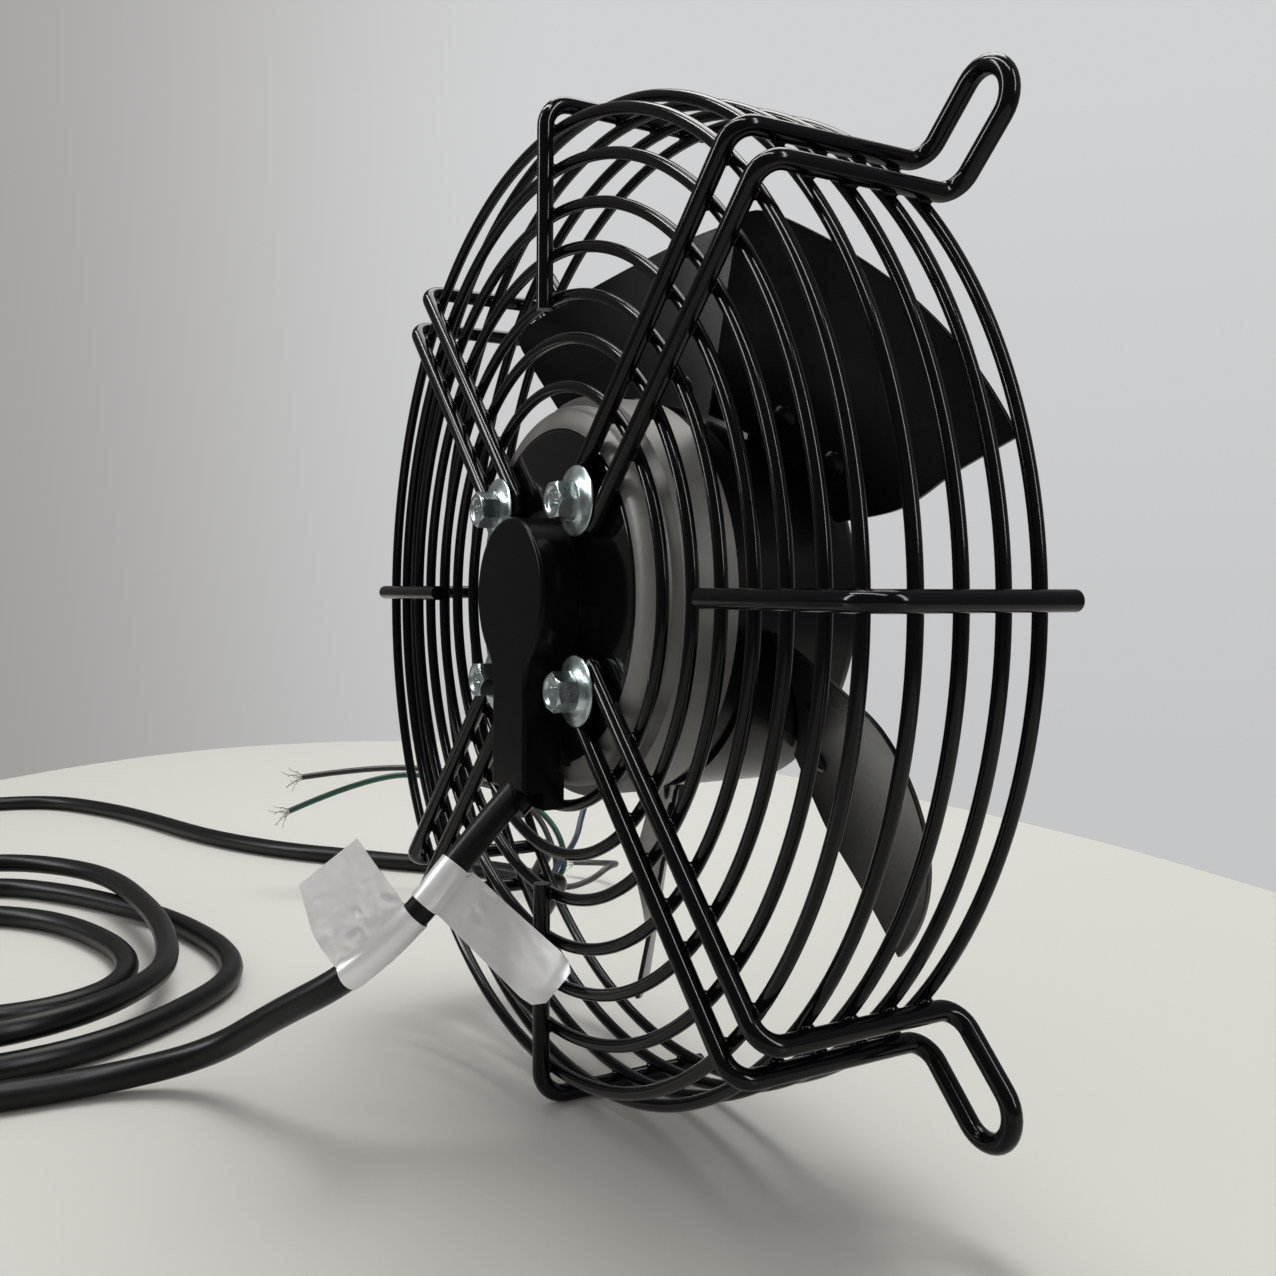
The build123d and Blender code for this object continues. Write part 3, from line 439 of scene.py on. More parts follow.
class Workshop:
    """Materials by finish, and the calls that turn meshes into pieces of the fan."""

    def __init__(self) -> None:
        """Build the shared groups and start with no materials."""
        self.groups = GroupLibrary()
        self._materials: dict[str, bpy.types.Material] = {}

    def material(self, finish: Finish) -> bpy.types.Material:
        """The finish's material, built at its first use.

        Args:
            finish: The finish.

        Returns:
            Its material.
        """
        if finish.name not in self._materials:
            self._materials[finish.name] = finish.build(self.groups)
        return self._materials[finish.name]

    def dress(self, finish: Finish, *nodes: str) -> None:
        """Give CAD nodes that stay in view their finish.

        Args:
            finish: The finish.
            nodes: The nodes' names.
        """
        for name in nodes:
            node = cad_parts[name]
            for slot in node.material_slots:
                slot.material = self.material(finish)
            LOG.info("dressed %s as %s", name, finish.name)

    def mesh(self, name: str, points: Sequence[Sequence[float]], faces: Sequence[Sequence[int]],
             edges: Sequence[Sequence[int]] = ()) -> bpy.types.Object:
        """A new mesh object with its doubles merged and its faces outwards.

        Args:
            name: The object's name.
            points: Places in metres.
            faces: Corner indices.
            edges: Edge indices, for wire paths.

        Returns:
            The object, linked to the scene.
        """
        data = bpy.data.meshes.new(name)
        data.from_pydata([tuple(point) for point in points], edges, faces)
        if faces:
            shell = bmesh.new()
            shell.from_mesh(data)
            bmesh.ops.remove_doubles(shell, verts=shell.verts, dist=DOUBLES)
            bmesh.ops.recalc_face_normals(shell, faces=shell.faces)
            shell.to_mesh(data)
            shell.free()
            data.shade_smooth()
            data.set_sharp_from_angle(angle=SHARP_ANGLE)
        return placed(name, data)

    def baked(self, piece: bpy.types.Object, name: str) -> bpy.types.Object:
        """Turn an object with modifiers into a plain mesh object of its own.

        Args:
            piece: The object with its modifiers; it is removed.
            name: The new object's name.

        Returns:
            The plain object.
        """
        data = mesh_of(piece)
        data.name = name
        return placed(name, data)

    def fit(self, piece: bpy.types.Object, finish: Finish, body: str, *nodes: str) -> bpy.types.Object:
        """Finish a piece and hang it on its body.

        Args:
            piece: The piece, in place.
            finish: Its finish.
            body: The CAD body that it rides on.
            nodes: The CAD nodes that it stands for.

        Returns:
            The piece.
        """
        if not piece.data.materials:
            piece.data.materials.append(self.material(finish))
        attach(piece, body)
        if nodes:
            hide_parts(*nodes)
        LOG.info("built %s for %s", piece.name, ", ".join(nodes) or "no node")
        return piece


def bent_path(corners: Sequence[Vector], radius: float, steps: int = 10) -> list[Vector]:
    """A bent wire's centreline: straight runs with one bend radius at every inner corner.

    Args:
        corners: The corners of the wire, ends included.
        radius: The bend radius, in the corners' unit.
        steps: Segments of each bend.

    Returns:
        The centreline's points.
    """
    path = [corners[0]]
    for before, here, after in zip(corners, corners[1:], corners[2:]):
        back, ahead = (before - here).normalized(), (after - here).normalized()
        half = back.angle(ahead) / 2
        centre = here + (back + ahead).normalized() * (radius / math.sin(half))
        first = here + back * (radius / math.tan(half)) - centre
        last = here + ahead * (radius / math.tan(half)) - centre
        for step in range(steps + 1):
            path.append(centre + first.slerp(last, step / steps).normalized() * radius)
    return path + [corners[-1]]


def quadratic(start: Vector, pull: Vector, end: Vector, t: float) -> Vector:
    """The point at t, from 0 to 1, of a quadratic curve."""
    return start * (1 - t) ** 2 + pull * 2 * t * (1 - t) + end * t**2


def quadratic_line(controls: Sequence[Point], steps: int = 8) -> list[Vector]:
    """The smooth line of a cord's route.

    Args:
        controls: The route's points; the line starts at the first and ends at the last.
        steps: Parts of each span.

    Returns:
        Points along the line, in the route's unit.
    """
    places = [Vector(point) for point in controls]
    joints = [places[0], *[(a + b) / 2 for a, b in zip(places[1:-1], places[2:-1])], places[-1]]
    line = [places[0]]
    for start, pull, end in zip(joints, places[1:-1], joints[1:]):
        line += [quadratic(start, pull, end, k / steps) for k in range(1, steps + 1)]
    return line


def turned(radius: float, y: float, angle: float) -> Vector:
    """The point at a radius, a place along the Y axis and an angle about it."""
    return Vector((radius * math.cos(angle), y, radius * math.sin(angle)))


def lathe(profile: Pairs, segments: int) -> tuple[list[Vector], Faces]:
    """Turn an open outline of (radius, y) about the Y axis.

    Args:
        profile: The outline's points.
        segments: Steps round the axis.

    Returns:
        Points and faces.
    """
    points: list[Vector] = []
    faces: Faces = []
    count = len(profile)
    for step in range(segments):
        angle = 2 * math.pi * step / segments
        points += [turned(radius, y, angle) for radius, y in profile]
        here, ahead = step * count, (step + 1) % segments * count
        faces += [[here + k, here + k + 1, ahead + k + 1, ahead + k] for k in range(count - 1)]
    return points, faces


def tube_faces(base: int, rings: int, sides: int) -> Faces:
    """Faces between rings of points that follow each other.

    Args:
        base: Index of the first ring's first point.
        rings: How many rings there are.
        sides: Points of each ring.

    Returns:
        The faces, ring by ring.
    """
    faces: Faces = []
    for low in range(base, base + (rings - 1) * sides, sides):
        for k in range(sides):
            n = (k + 1) % sides
            faces.append([low + k, low + n, low + sides + n, low + sides + k])
    return faces


def closed_sheet(front: list[Vector], back: list[Vector], rows: int,
                 columns: int) -> tuple[list[Vector], Faces]:
    """Close two like grids of points into a sheet.

    Args:
        front: Points of one side, row by row.
        back: Points of the other side in the same order.
        rows: Spaces between the grid's rows.
        columns: Spaces between the grid's columns.

    Returns:
        Points and faces of both sides and the rim.
    """
    wide, size = columns + 1, len(front)
    rim = [*range(wide), *(j * wide + columns for j in range(1, rows + 1))]
    rim += [rows * wide + i for i in range(columns - 1, -1, -1)]
    rim += [j * wide for j in range(rows - 1, 0, -1)]
    faces: Faces = []
    for base, order in ((0, -1), (size, 1)):
        for j in range(rows):
            for k in range(base + j * wide, base + j * wide + columns):
                faces.append([k, k + 1, k + wide + 1, k + wide][::order])
    faces += [[a, b, b + size, a + size] for a, b in zip(rim, rim[1:] + rim[:1])]
    return front + back, faces


class PatternTrees:
    """Geometry Nodes trees for what repeats round the fan's axis."""

    bead_segments: int = 14
    bead_rings: int = 8
    bead_scale: Point = (1.0, 1.0, 0.62)

    def __init__(self) -> None:
        """Build the trees."""
        self.wires = self._pattern("wire_pattern", self._as_wire)
        self.copies = self._pattern("copy_pattern", None)
        self.welds = self._pattern("weld_pattern", self._as_weld)

    def _pattern(self, name: str, shape: Callable | None) -> bpy.types.NodeTree:
        """A tree that shapes its geometry and repeats it round the fan's axis.

        Args:
            name: The tree's name.
            shape: The step that shapes one copy, or None to repeat the geometry as it is.

        Returns:
            The tree.
        """
        tree = bpy.data.node_groups.new(name, "GeometryNodeTree")
        tree.is_modifier = True
        sockets = {
            "Geometry": "Geometry", "Count": "Int", "First Angle": "Float", "Thickness": "Float",
            "Sides": "Int", "Place": "Vector", "Finish": "Material",
        }
        for label, kind in sockets.items():
            tree.interface.new_socket(name=label, in_out="INPUT", socket_type="NodeSocket" + kind)
        tree.interface.new_socket(name="Geometry", in_out="OUTPUT", socket_type="NodeSocketGeometry")
        graph = Graph(tree)
        given = graph.add("NodeGroupInput").outputs
        one = shape(graph, given) if shape else given["Geometry"]
        centres = graph.add("GeometryNodePoints", Count=given["Count"], Position=given["Place"])
        index = graph.add("GeometryNodeInputIndex").outputs["Index"]
        step = graph.math("DIVIDE", 2 * math.pi, given["Count"])
        angle = graph.math("ADD", graph.math("MULTIPLY", index, step), given["First Angle"])
        turn = graph.add("ShaderNodeCombineXYZ", Y=graph.math("MULTIPLY", angle, -1.0))
        spread = graph.add(
            "GeometryNodeInstanceOnPoints", Points=centres.outputs[0], Instance=one,
            Rotation=turn.outputs["Vector"],
        )
        solid = graph.add("GeometryNodeRealizeInstances", Geometry=spread.outputs["Instances"])
        final = graph.add(
            "GeometryNodeSetMaterial", Geometry=solid.outputs["Geometry"], Material=given["Finish"],
        )
        target = graph.add("NodeGroupOutput")
        graph.feed(target.inputs["Geometry"], final.outputs["Geometry"])
        return tree

    def _as_wire(self, graph: Graph, given: bpy.types.bpy_prop_collection) -> bpy.types.NodeSocket:
        """Give edges a round section whose size follows the taper attribute.

        Args:
            graph: The tree's graph.
            given: The tree's inputs.

        Returns:
            The wire's mesh socket.
        """
        taper = graph.add("GeometryNodeInputNamedAttribute", {"data_type": "FLOAT"}, Name="taper")
        curve = graph.add("GeometryNodeMeshToCurve", Mesh=given["Geometry"])
        sized = graph.add(
            "GeometryNodeSetCurveRadius", Curve=curve.outputs["Curve"], Radius=taper.outputs["Attribute"],
        )
        section = graph.add(
            "GeometryNodeCurvePrimitiveCircle", Resolution=given["Sides"], Radius=given["Thickness"],
        )
        wire = graph.add("GeometryNodeCurveToMesh", Curve=sized.outputs["Curve"], Fill_Caps=True)
        graph.feed(wire.inputs["Profile Curve"], section.outputs["Curve"])
        smooth = graph.add("GeometryNodeSetShadeSmooth", Geometry=wire.outputs["Mesh"])
        return smooth.outputs["Geometry"]

    def _as_weld(self, graph: Graph, given: bpy.types.bpy_prop_collection) -> bpy.types.NodeSocket:
        """Put a flattened bead on every point, square to its out attribute.

        Args:
            graph: The tree's graph.
            given: The tree's inputs.

        Returns:
            The beads' mesh socket.
        """
        out = graph.add("GeometryNodeInputNamedAttribute", {"data_type": "FLOAT_VECTOR"}, Name="out")
        out = out.outputs["Attribute"]
        facing = graph.add("FunctionNodeAlignRotationToVector", {"axis": "Z"}, Vector=out)
        bead = graph.add(
            "GeometryNodeMeshUVSphere", Segments=self.bead_segments, Rings=self.bead_rings,
            Radius=given["Thickness"],
        )
        smooth = graph.add("GeometryNodeSetShadeSmooth", Geometry=bead.outputs["Mesh"])
        beads = graph.add(
            "GeometryNodeInstanceOnPoints", Points=given["Geometry"], Instance=smooth.outputs["Geometry"],
            Rotation=facing.outputs["Rotation"], Scale=self.bead_scale,
        )
        solid = graph.add("GeometryNodeRealizeInstances", Geometry=beads.outputs["Instances"])
        return solid.outputs["Geometry"]

    def spread(self, shop: Workshop, piece: bpy.types.Object, name: str, tree: bpy.types.NodeTree,
               finish: Finish, count: int = 1, first: float = 0.0, thickness: float = 0.001,
               sides: int = 16) -> bpy.types.Object:
        """Repeat a base shape round the fan's axis and bake it.

        Args:
            shop: The workshop.
            piece: The base shape, about the fan's own origin; it is removed.
            name: The result's name.
            tree: One of this class's trees.
            finish: The result's finish.
            count: How many copies there are round the axis.
            first: Angle of the first copy from +X towards +Z, in degrees.
            thickness: Radius of a wire or a weld bead, in metres.
            sides: Sides of a wire's section.

        Returns:
            The baked object.
        """
        modifier = piece.modifiers.new(name, "NODES")
        modifier.node_group = tree
        values = {
            "Count": count, "First Angle": math.radians(first), "Thickness": thickness, "Sides": sides,
            "Place": AXIS_PLACE, "Finish": shop.material(finish),
        }
        for item in tree.interface.items_tree:
            if item.in_out == "INPUT" and item.name in values:
                modifier[item.identifier] = values[item.name]
        return shop.baked(piece, name)


@dataclass
class WireGuard:
    """The welded wire guard: rings, spokes, looped ears and weld beads."""

    radius: float = 120.0
    spoke_wire: float = 4.1
    ring_wire: float = 2.85
    weld_depth: float = 0.45
    face_radii: tuple[float, ...] = (50.2, 61.6, 71.8, 82.7, 92.6, 103.3, 113.0)
    wall_places: tuple[float, ...] = (11.0, 21.3, 31.3, 40.2)
    spoke_start: float = 69.0
    spoke_end: float = 45.8
    spoke_bend: float = 6.5
    ear_pitch: float = 12.8
    ear_plane: float = 47.2
    ear_tip: float = 144.0
    ear_bend: float = 5.0
    bolt_circle: float = 30.3
    weld_radius: float = 1.75
    ring_steps: int = 224
    ring_sides: int = 14
    spokes: int = 4
    spoke_sides: int = 22
    ear_turn: float = 45.0
    end_steps: int = 6
    end_taper_least: float = 0.02
    nose_steps: int = 16

    @property
    def ring_offset(self) -> float:
        """Distance between the centrelines of a spoke and a ring that is welded to it."""
        return (self.spoke_wire + self.ring_wire) / 2 - self.weld_depth

    def path_object(self, shop: Workshop, paths: Sequence[tuple[list[Vector], bool]]) -> bpy.types.Object:
        """Wire centrelines as edges, with their taper.

        Args:
            shop: The workshop.
            paths: Centrelines in millimetres about the fan's origin, each with whether it is closed.

        Returns:
            The object that the wire tree works on.
        """
        points: list[Vector] = []
        edges: list[tuple[int, int]] = []
        taper: list[float] = []
        for path, closed in paths:
            start, count = len(points), len(path)
            points += in_metres(path)
            edges += [(start + k, start + k + 1) for k in range(count - 1)]
            if closed:
                edges.append((start + count - 1, start))
                taper += [1.0] * count
            else:
                taper += self.end_taper(path)
        wire = shop.mesh("wire_path", points, [], edges)
        attribute = wire.data.attributes.new("taper", "FLOAT", "POINT")
        attribute.data.foreach_set("value", taper)
        return wire

    def end_taper(self, path: list[Vector]) -> list[float]:
        """How far the section shrinks near the wire's rounded ends.

        Args:
            path: The wire's centreline.

        Returns:
            A part from 0 to 1 for each point.
        """
        round_off = self.spoke_wire / 2
        scale = []
        for place in path:
            reach = min((place - path[0]).length, (place - path[-1]).length) / round_off
            round_part = math.sqrt(max(self.end_taper_least**2, 1 - (1 - reach) ** 2))
            scale.append(round_part if reach < 1 else 1.0)
        return scale

    def with_round_ends(self, path: list[Vector]) -> list[Vector]:
        """Add close points near both ends, so that they can be rounded.

        Args:
            path: The wire's centreline.

        Returns:
            The centreline with the added points.
        """
        round_off = self.spoke_wire / 2
        steps = range(1, self.end_steps + 1)
        places = [round_off * (1 - math.cos(math.pi / 2 * k / self.end_steps)) for k in steps]
        ahead, back = (path[1] - path[0]).normalized(), (path[-2] - path[-1]).normalized()
        near = [path[0] + ahead * place for place in places]
        far = [path[-1] + back * place for place in reversed(places)]
        return [path[0], *near, *path[1:-1], *far, path[-1]]

    def ring_paths(self) -> list[tuple[list[Vector], bool]]:
        """Centrelines of all rings, on the face and on the wall.

        Returns:
            Each ring with the mark that it is closed.
        """
        sizes = [(radius, self.ring_offset) for radius in self.face_radii]
        sizes += [(self.radius - self.ring_offset, y) for y in self.wall_places]
        paths = []
        for radius, y in sizes:
            angles = [2 * math.pi * k / self.ring_steps for k in range(self.ring_steps)]
            paths.append(([turned(radius, y, angle) for angle in angles], True))
        return paths

    def spoke_path(self) -> list[Vector]:
        """Centreline of the single spoke at +X."""
        corners = [(self.spoke_start, 0, 0), (self.radius, 0, 0), (self.radius, self.spoke_end, 0)]
        return self.with_round_ends(bent_path([Vector(corner) for corner in corners], self.spoke_bend))

    def ear_path(self) -> list[Vector]:
        """The double spoke at +X: round the bolt, out, back and round the ear.

        Returns:
            Its closed centreline.
        """
        half = self.ear_pitch / 2
        tip = self.ear_tip - half
        corners = [
            (self.bolt_circle, 0, half), (self.radius, 0, half), (self.radius, self.ear_plane, half),
            (tip, self.ear_plane, half),
        ]
        leg = bent_path([Vector(corner) for corner in corners], self.ear_bend)
        turn = [math.pi / 2 - math.pi * k / self.nose_steps for k in range(1, self.nose_steps)]
        nose = [Vector((tip + half * math.cos(a), self.ear_plane, half * math.sin(a))) for a in turn]
        other = [Vector((p.x, p.y, -p.z)) for p in reversed(leg)]
        loop = [Vector((self.bolt_circle - half * math.cos(a), 0, -half * math.sin(a))) for a in turn]
        return leg + nose + other + loop

    def weld_places(self, offset: float, first_radius: float) -> list[tuple[Vector, Vector]]:
        """Where one wire of a spoke meets the rings.

        Args:
            offset: Sideways distance of the wire from the spoke's middle.
            first_radius: Radius where the wire starts.

        Returns:
            Places in millimetres and the directions that the beads face.
        """
        lift = self.spoke_wire / 2 - self.weld_depth / 2
        found = []
        for radius in self.face_radii:
            if radius > first_radius:
                found.append((Vector((math.sqrt(radius**2 - offset**2), lift, offset)), Vector((0, 1, 0))))
        for y in self.wall_places:
            found.append((Vector((self.radius - lift, y, offset)), Vector((1, 0, 0))))
        return found

    def weld_object(self, shop: Workshop, places: list[tuple[Vector, Vector]]) -> bpy.types.Object:
        """Points with the directions of their beads.

        Args:
            shop: The workshop.
            places: Places in millimetres, each with its direction.

        Returns:
            The object that the weld tree works on.
        """
        points = shop.mesh("weld_points", in_metres(place for place, _ in places), [])
        attribute = points.data.attributes.new("out", "FLOAT_VECTOR", "POINT")
        attribute.data.foreach_set("vector", [value for _, out in places for value in out])
        return points

    def build(self, shop: Workshop, trees: PatternTrees) -> None:
        """Build the guard's wires and weld beads.

        Args:
            shop: The workshop.
            trees: The trees that repeat shapes round the axis.
        """
        rings = numbered("guard_face_ring", len(self.face_radii))
        rings += numbered("guard_wall_ring", len(self.wall_places))
        spokes, ears = numbered("guard_spoke", self.spokes), numbered("guard_ear_spoke", self.spokes)
        thick = (self.spoke_wire / 2 * MM, self.spoke_sides)
        kinds = (
            ("guard_rings", self.ring_paths(), 1, 0.0, (self.ring_wire / 2 * MM, self.ring_sides), rings),
            ("guard_spokes", [(self.spoke_path(), False)], self.spokes, 0.0, thick, spokes),
            ("guard_ear_spokes", [(self.ear_path(), True)], self.spokes, self.ear_turn, thick, ears),
        )
        for name, paths, count, first, section, nodes in kinds:
            wires = self.path_object(shop, paths)
            wires = trees.spread(shop, wires, name, trees.wires, GUARD_COAT, count, first, *section)
            shop.fit(wires, GUARD_COAT, STATOR_BODY, *nodes)
        half = self.ear_pitch / 2
        welds = (
            ("guard_spoke_welds", self.weld_places(0.0, self.spoke_start), 0.0),
            ("guard_ear_welds", self.weld_places(half, 0.0) + self.weld_places(-half, 0.0), self.ear_turn),
        )
        for name, places, first in welds:
            beads = self.weld_object(shop, places)
            radius = self.weld_radius * MM
            beads = trees.spread(shop, beads, name, trees.welds, GUARD_COAT, self.spokes, first, radius)
            shop.fit(beads, GUARD_COAT, STATOR_BODY)


@dataclass
class FlangeBolts:
    """The four flanged hexagon bolts."""

    circle: float = 30.3
    seat: float = -2.05
    flange: float = 16.2
    flange_height: float = 1.8
    across_flats: float = 8.0
    hex_height: float = 4.7
    recess: float = 6.0
    recess_depth: float = 0.5
    flange_outline: Pairs = (
        (0.35, 0.0), (0.05, 0.12), (0.0, 0.35), (0.12, 0.6), (0.5, 0.74), (1.5, 0.86), (2.6, 1.25),
        (3.4, 1.74), (4.4, 1.5),
    )
    sunk: float = 0.3
    chamfer: Pairs = ((0.5, 1.0), (0.38, 0.75), (0.26, 0.5), (0.14, 0.25))
    face_edge: Pairs = ((0.03, 0.02), (0.0, 0.1))
    recess_edge: Pairs = ((0.0, -0.3), (0.08, -0.12), (0.4, 0.25), (0.5, 0.45))
    head_turn: float = 12.0
    sides: int = 72
    mark_height: float = 3.1
    mark_rise: float = 0.2
    mark_edge: float = 0.02
    mark_lean: float = -62.0
    count: int = 4
    first: float = 45.0

    def hex_radius(self, angle: float, limit: float) -> float:
        """Radius of the chamfered hexagon at an angle."""
        sector = (angle + math.pi / 6) % (math.pi / 3) - math.pi / 6
        return min(self.across_flats / 2 / math.cos(sector), limit)

    def head_levels(self) -> list[tuple[float, float]]:
        """The head from its flange to its recess.

        Returns:
            Places along the axis, each with the widest radius there.
        """
        top = self.seat - self.flange_height
        face = top - self.hex_height
        flat, inner = self.across_flats / 2, self.recess / 2
        corner = flat / math.cos(math.pi / 6)
        levels = [(top + self.sunk, corner)]
        levels += [(face + depth, flat + (corner - flat) * part) for depth, part in self.chamfer]
        levels += [(face + depth, flat - inward) for depth, inward in self.face_edge]
        levels += [(face + depth, inner - inward) for depth, inward in self.recess_edge]
        return levels + [(levels[-1][0], 0.0)]

    def build(self, shop: Workshop, trees: PatternTrees) -> None:
        """Build one bolt at +X and repeat it.

        Args:
            shop: The workshop.
            trees: The trees that repeat shapes round the axis.
        """
        rim, seat = self.flange / 2, self.seat
        side = [(rim - inward, seat - rise) for inward, rise in self.flange_outline]
        points, faces = lathe([(0.0, seat), *side, (0.0, side[-1][1])], self.sides)
        levels = self.head_levels()
        faces += tube_faces(len(points), len(levels), self.sides)
        angles = [2 * math.pi * step / self.sides for step in range(self.sides)]
        for y, limit in levels:
            points += [turned(self.hex_radius(angle, limit), y, angle) for angle in angles]
        turn = Matrix.Rotation(math.radians(self.head_turn), 3, "Y")
        points = [(turn @ p + Vector((self.circle, 0, 0))) * MM for p in points]
        bolt = shop.mesh("bolt_shape", points, faces)
        self.stamp(bolt, turn)
        bolts = trees.spread(shop, bolt, "flange_bolts", trees.copies, BRIGHT_ZINC, self.count, self.first)
        shop.fit(bolts, BRIGHT_ZINC, STATOR_BODY, "guard_bolts")

    def stamp(self, bolt: bpy.types.Object, turn: Matrix) -> None:
        """Raise the plain strength grade in the head's recess.

        Args:
            bolt: The bolt's base shape, which takes the digits in.
            turn: How the head is turned about its own axis.
        """
        text = bpy.data.curves.new("grade_digits", "FONT")
        text.body = "8.8"
        text.size = self.mark_height * MM
        text.extrude = self.mark_rise * MM
        text.bevel_depth = self.mark_edge * MM
        text.resolution_u = 3
        text.align_x, text.align_y = "CENTER", "CENTER"
        digits = mesh_of(placed("grade_digits", text))
        floor = (self.seat - self.flange_height - self.hex_height + self.recess_depth) * MM
        upright = Matrix.Rotation(math.radians(90), 4, "X")
        lean = Matrix.Rotation(math.radians(self.mark_lean), 4, "Y")
        place = Matrix.Translation(Vector((self.circle * MM, floor, 0)))
        digits.transform(place @ lean @ turn.to_4x4() @ upright)
        joined = bmesh.new()
        joined.from_mesh(bolt.data)
        joined.from_mesh(digits)
        joined.to_mesh(bolt.data)
        joined.free()
        bolt.data.shade_smooth()
        bolt.data.set_sharp_from_angle(angle=DIGIT_SHARP_ANGLE)


@dataclass
class Blades:
    """The five pressed sheet blades and their rivets."""

    count: int = 5
    tip: float = 100.0
    root: float = 48.6
    direction: float = 38.5
    thickness: float = 1.35
    middle: float = 45.3
    slope: float = 0.525
    curve: float = 0.005
    twist: float = 2.75e-5
    back_tip: float = -33.5
    front_tip: float = 33.8
    back_root: float = -15.0
    front_root: float = 20.0
    corner: float = 6.0
    front_edge: tuple[float, float] = (28.3, 73.0)
    back_edge: Pairs = ((-24.4, 62.0), (-28.4, 78.0))
    rivet_places: tuple[float, float] = (-7.0, 7.0)
    rivet_radius: float = 57.5
    rivet_head: float = 2.9
    rivet_height: float = 1.0
    tab_thickness: float = 1.5
    rivet_sides: int = 24
    dome_angles: tuple[float, ...] = (0.0, 0.35, 0.7, 1.0, 1.25, 1.45, math.pi / 2)
    seat_depth: float = 0.02
    stack_slack: float = 0.05
    edge_round: float = 0.3
    rows: int = 34
    columns: int = 40
    arc_steps: int = 40
    root_steps: int = 30
    spline_steps: int = 12
    corner_half: int = 4

    def height(self, u: float) -> float:
        """Place of the blade's front side along the fan's axis at a tangential place."""
        return self.middle - self.slope * u - self.curve * u**2 - self.twist * u**3

    def on_circle(self, u: float, radius: float) -> Vector:
        """A plan point on a circle about the axis."""
        return Vector((u, math.sqrt(radius**2 - u**2)))

    def on_tip(self, angle: float) -> Vector:
        """A plan point on the tip circle, by its angle in radians."""
        return Vector((math.cos(angle), math.sin(angle))) * self.tip

    def front_side(self) -> list[Vector]:
        """The front edge from root to tip.

        Returns:
            Its plan line, with the first half of its rounded corner.
        """
        start, end = self.on_circle(self.front_root, self.root), self.on_circle(self.front_tip, self.tip)
        pull = (Vector(self.front_edge) - start * 0.25 - end * 0.25) * 2
        line = [quadratic(start, pull, end, k / self.arc_steps) for k in range(self.arc_steps + 1)]
        cut = [p for p in line if (p - end).length > self.corner]
        angle = math.atan2(end.y, end.x) + self.corner / self.tip
        return cut + self.half_corner(cut[-1], end, self.on_tip(angle))

    def tip_side(self) -> list[Vector]:
        """The tip from the back corner to the middle of the rounded front corner.

        Returns:
            Its plan line.
        """
        end = self.on_circle(self.front_tip, self.tip)
        first = math.atan2(self.on_circle(self.back_tip, self.tip).y, self.back_tip)
        last = math.atan2(end.y, end.x) + self.corner / self.tip
        arc = [first + (last - first) * k / self.arc_steps for k in range(self.arc_steps + 1)]
        line = [self.on_tip(angle) for angle in arc]
        return line + self.half_corner(line[-1], end, self.front_side()[-self.corner_half - 1])

    def half_corner(self, start: Vector, corner: Vector, end: Vector) -> list[Vector]:
        """The first half of a rounded corner, without its first point."""
        half = self.corner_half
        return [quadratic(start, corner, end, k / (2 * half)) for k in range(1, half + 1)]

    def back_side(self) -> list[Vector]:
        """The back edge from root to tip.

        Returns:
            Its plan line.
        """
        start, end = self.on_circle(self.back_root, self.root), self.on_circle(self.back_tip, self.tip)
        knots = [start, *[Vector(place) for place in self.back_edge], end]
        padded = [knots[0] * 2 - knots[1], *knots, knots[-1] * 2 - knots[-2]]
        line = []
        for a, b, c, d in zip(padded, padded[1:], padded[2:], padded[3:]):
            linear, square, cube = c - a, a * 2 - b * 5 + c * 4 - d, b * 3 - a - c * 3 + d
            for k in range(self.spline_steps):
                t = k / self.spline_steps
                line.append((b * 2 + linear * t + square * t**2 + cube * t**3) / 2)
        return line + [end]

    def root_side(self) -> list[Vector]:
        """Plan line of the root from back to front."""
        step = (self.front_root - self.back_root) / self.root_steps
        return [self.on_circle(self.back_root + step * k, self.root) for k in range(self.root_steps + 1)]

    @staticmethod
    def even(line: list[Vector], count: int) -> list[Vector]:
        """Spread points evenly along a line.

        Args:
            line: The line's points.
            count: How many equal parts it gets.

        Returns:
            The new points, both ends included.
        """
        lengths = [0.0]
        for a, b in zip(line, line[1:]):
            lengths.append(lengths[-1] + (b - a).length)
        made, k = [], 0
        for i in range(count + 1):
            want = lengths[-1] * i / count
            while k < len(line) - 2 and lengths[k + 1] < want:
                k += 1
            part = lengths[k + 1] - lengths[k] or 1.0
            made.append(line[k].lerp(line[k + 1], min(1.0, (want - lengths[k]) / part)))
        return made

    def grid(self) -> list[Vector]:
        """Spread points between the four sides.

        Returns:
            Plan points, row by row from the root to the tip.
        """
        low, high = self.even(self.root_side(), self.columns), self.even(self.tip_side(), self.columns)
        left, right = self.even(self.back_side(), self.rows), self.even(self.front_side(), self.rows)
        places = []
        for j in range(self.rows + 1):
            t = j / self.rows
            for i in range(self.columns + 1):
                s = i / self.columns
                across = left[j] * (1 - s) + right[j] * s
                along = low[i] * (1 - t) + high[i] * t
                corners = low[0] * (1 - s) * (1 - t) + low[-1] * s * (1 - t)
                corners += high[0] * (1 - s) * t + high[-1] * s * t
                places.append(across + along - corners)
        return places

    def sheet(self) -> tuple[list[Vector], Faces]:
        """One blade that stands up along +Z.

        Returns:
            Its points and faces.
        """
        flat = self.grid()
        front, back = (
            [Vector((-p.x, self.height(p.x) + depth, p.y)) for p in flat] for depth in (0.0, self.thickness)
        )
        return closed_sheet(front, back, self.rows, self.columns)

